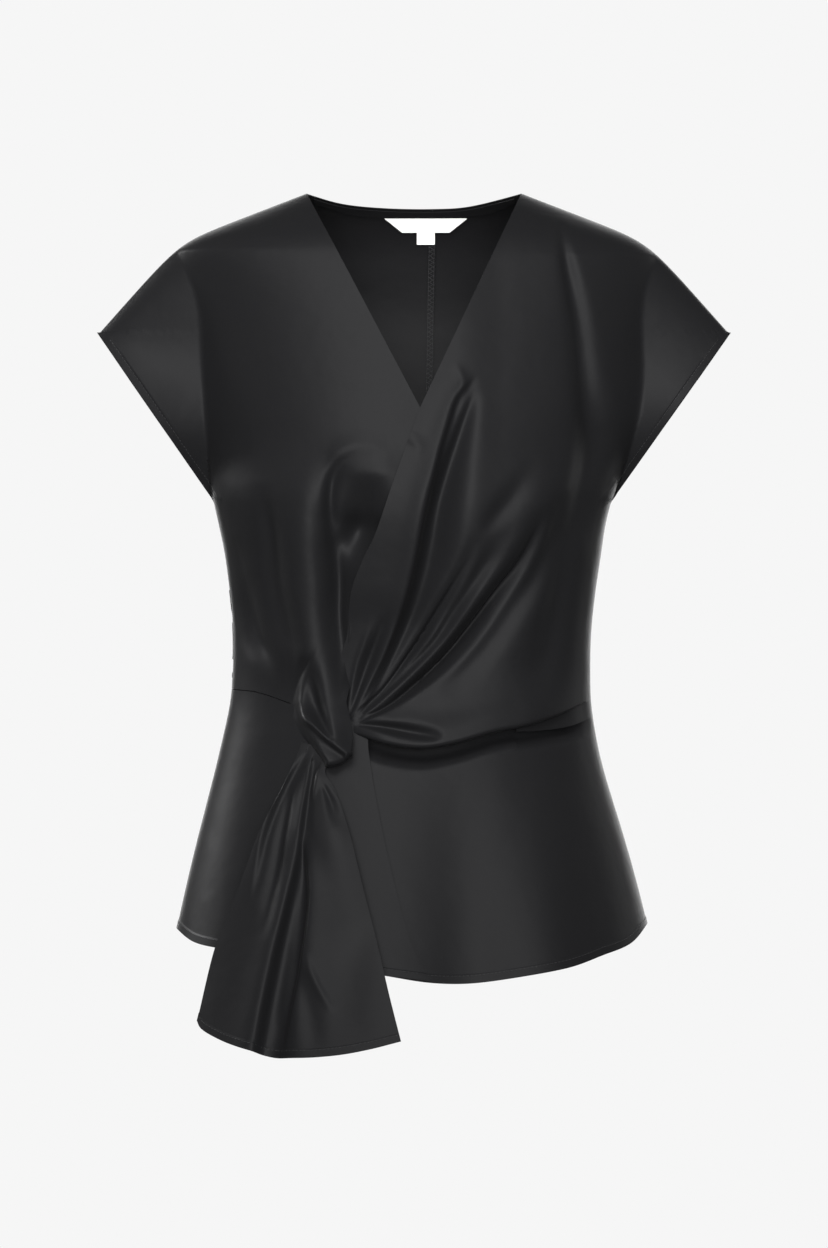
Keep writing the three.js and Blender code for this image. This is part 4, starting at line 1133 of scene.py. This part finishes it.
def labelPiece(name, halfTop, halfFoot, top, foot):
    def line(half, z):
        return straight((label["x"] - half, z), (label["x"] + half, z))

    return trimPiece(name, patch(line(halfTop, top), line(halfFoot, foot)), 60, 14)


def labelPieces():
    foot, half = label["foot"], sizeTab["half"]
    main = labelPiece("neckLabel", label["halfTop"], label["halfFoot"], label["top"], foot)
    dress(main, ["neck_label"], ribbon)
    tab = labelPiece("sizeTab", half, half, foot - seamGap, sizeTab["foot"])
    dress(tab, ["size_tab"], ribbon)


# flat is the cut's width and length in metres, area what is left of that once its outline is cut
pieces = [
    (frontRight, "front_right", {"flat": (0.38, 0.5), "held": "draped", "area": 0.095}),
    (frontLeft, "front_left", {"flat": (0.46, 0.5), "held": "gathered", "area": 0.125}),
    (wrapReturn, "wrap_return", {"flat": (0.09, 0.02), "held": "folded", "area": 0.0011}),
    (tieTail, "tie_tail", {"flat": (0.19, 0.27), "held": "hung", "area": 0.032}),
    (peplumRight, "peplum_right", {"flat": (0.24, 0.24), "held": "hung", "area": 0.045}),
    (peplumLeft, "peplum_left", {"flat": (0.3, 0.24), "held": "hung", "area": 0.06}),
    (peplumBack, "peplum_back", {"flat": (0.52, 0.25), "held": "hung", "area": 0.1}),
    (lambda: backHalf(-1), "back_right", {"flat": (0.36, 0.44), "held": "draped", "area": 0.1}),
    (lambda: backHalf(1), "back_left", {"flat": (0.34, 0.44), "held": "draped", "area": 0.09}),
    (neckFacing, "neck_facing", {"flat": (0.19, 0.012), "held": "hung", "area": 0.0017}),
]
for build, node, sheet in pieces:
    dress(build(), [node], satin)
    print("made", node)

labelPieces()
backAllowance()
for side, sideName in ((-1, "Right"), (1, "Left")):
    cuffStitches(side, onFront, "frontCuffStitches" + sideName)
    cuffStitches(side, onBack, "backCuffStitches" + sideName)
print("all pieces made")

# studio
studio = {
    "floorZ": -1.7, "floorRadius": 1.25, "backdrop": "#f6f6f6", "ambient": 0.15, "cameraDistance": 12.0,
    "cameraZ": -0.331, "frameHeight": 1.0234, "sensor": 36.0,
}
# name, place, what it points at, size, watts and the spread of its beam
lamps = [
    ("front", (0.1, -3.8, 0.1), (0, 0, -0.02), (2.9, 2.4), 34, 50),
    ("key", (-0.35, -1.8, 1.2), (0, 0, -0.04), (1.9, 1.2), 13, 60),
    ("sideRight", (-1.7, 0.8, 0.4), (-0.2, 0, -0.6), (0.5, 0.8), 2.7, 38),
    ("sideLeft", (2.2, 1.2, 0.2), (0, 0, -0.3), (0.9, 1.8), 11, 180),
    ("behind", (0.3, 3.4, 0.5), (0, 0, -0.3), (3.4, 3.0), 130, 180),
]


def softbox(name, place, aim, size, watts, spread):
    data = bpy.data.lights.new(name, "AREA")
    data.shape = "RECTANGLE"
    data.size, data.size_y = size
    data.energy = watts
    data.spread = math.radians(spread)
    lamp = bpy.data.objects.new(name, data)
    lamp.location = place
    lamp.rotation_euler = (Vector(aim) - Vector(place)).to_track_quat("-Z", "Y").to_euler()
    lamp.visible_camera = False
    scene.collection.objects.link(lamp)


def buildFloor():
    bpy.ops.mesh.primitive_circle_add(
        vertices=96, radius=studio["floorRadius"], fill_type="NGON", location=(0, 0, studio["floorZ"])
    )
    floor = bpy.context.object
    floor.name = "floor"
    paper, tree = newMaterial("paleFloor")
    principled(tree, {"Base Color": linear(studio["backdrop"]), "Roughness": 0.8})
    floor.data.materials.append(paper)


# the backdrop is seen at its own colour, and lights the cloth only a little
def buildWorld():
    world = bpy.data.worlds.new("studio")
    scene.world = world
    world.use_nodes = True
    tree = world.node_tree
    tree.nodes.clear()
    path = addNode(tree, "ShaderNodeLightPath")
    lit = addNode(tree, "ShaderNodeBackground", {"Color": (1, 1, 1, 1), "Strength": studio["ambient"]})
    seen = addNode(tree, "ShaderNodeBackground", {"Color": linear(studio["backdrop"]), "Strength": 1.0})
    links = {0: path.outputs["Is Camera Ray"], 1: lit.outputs[0], 2: seen.outputs[0]}
    both = addNode(tree, "ShaderNodeMixShader", {}, links)
    addNode(tree, "ShaderNodeOutputWorld", {}, {"Surface": both.outputs[0]})


def buildCamera():
    camera = bpy.data.objects.new("camera", bpy.data.cameras.new("camera"))
    camera.location = (0, -studio["cameraDistance"], studio["cameraZ"])
    camera.rotation_euler = (math.pi / 2, 0, 0)
    camera.data.sensor_width = studio["sensor"]
    camera.data.lens = studio["sensor"] * studio["cameraDistance"] / studio["frameHeight"]
    camera.data.clip_end = 60
    scene.collection.objects.link(camera)
    scene.camera = camera


buildFloor()
buildWorld()
for lamp in lamps:
    softbox(*lamp)
buildCamera()
scene.view_settings.view_transform = "Standard"
print("studio ready")
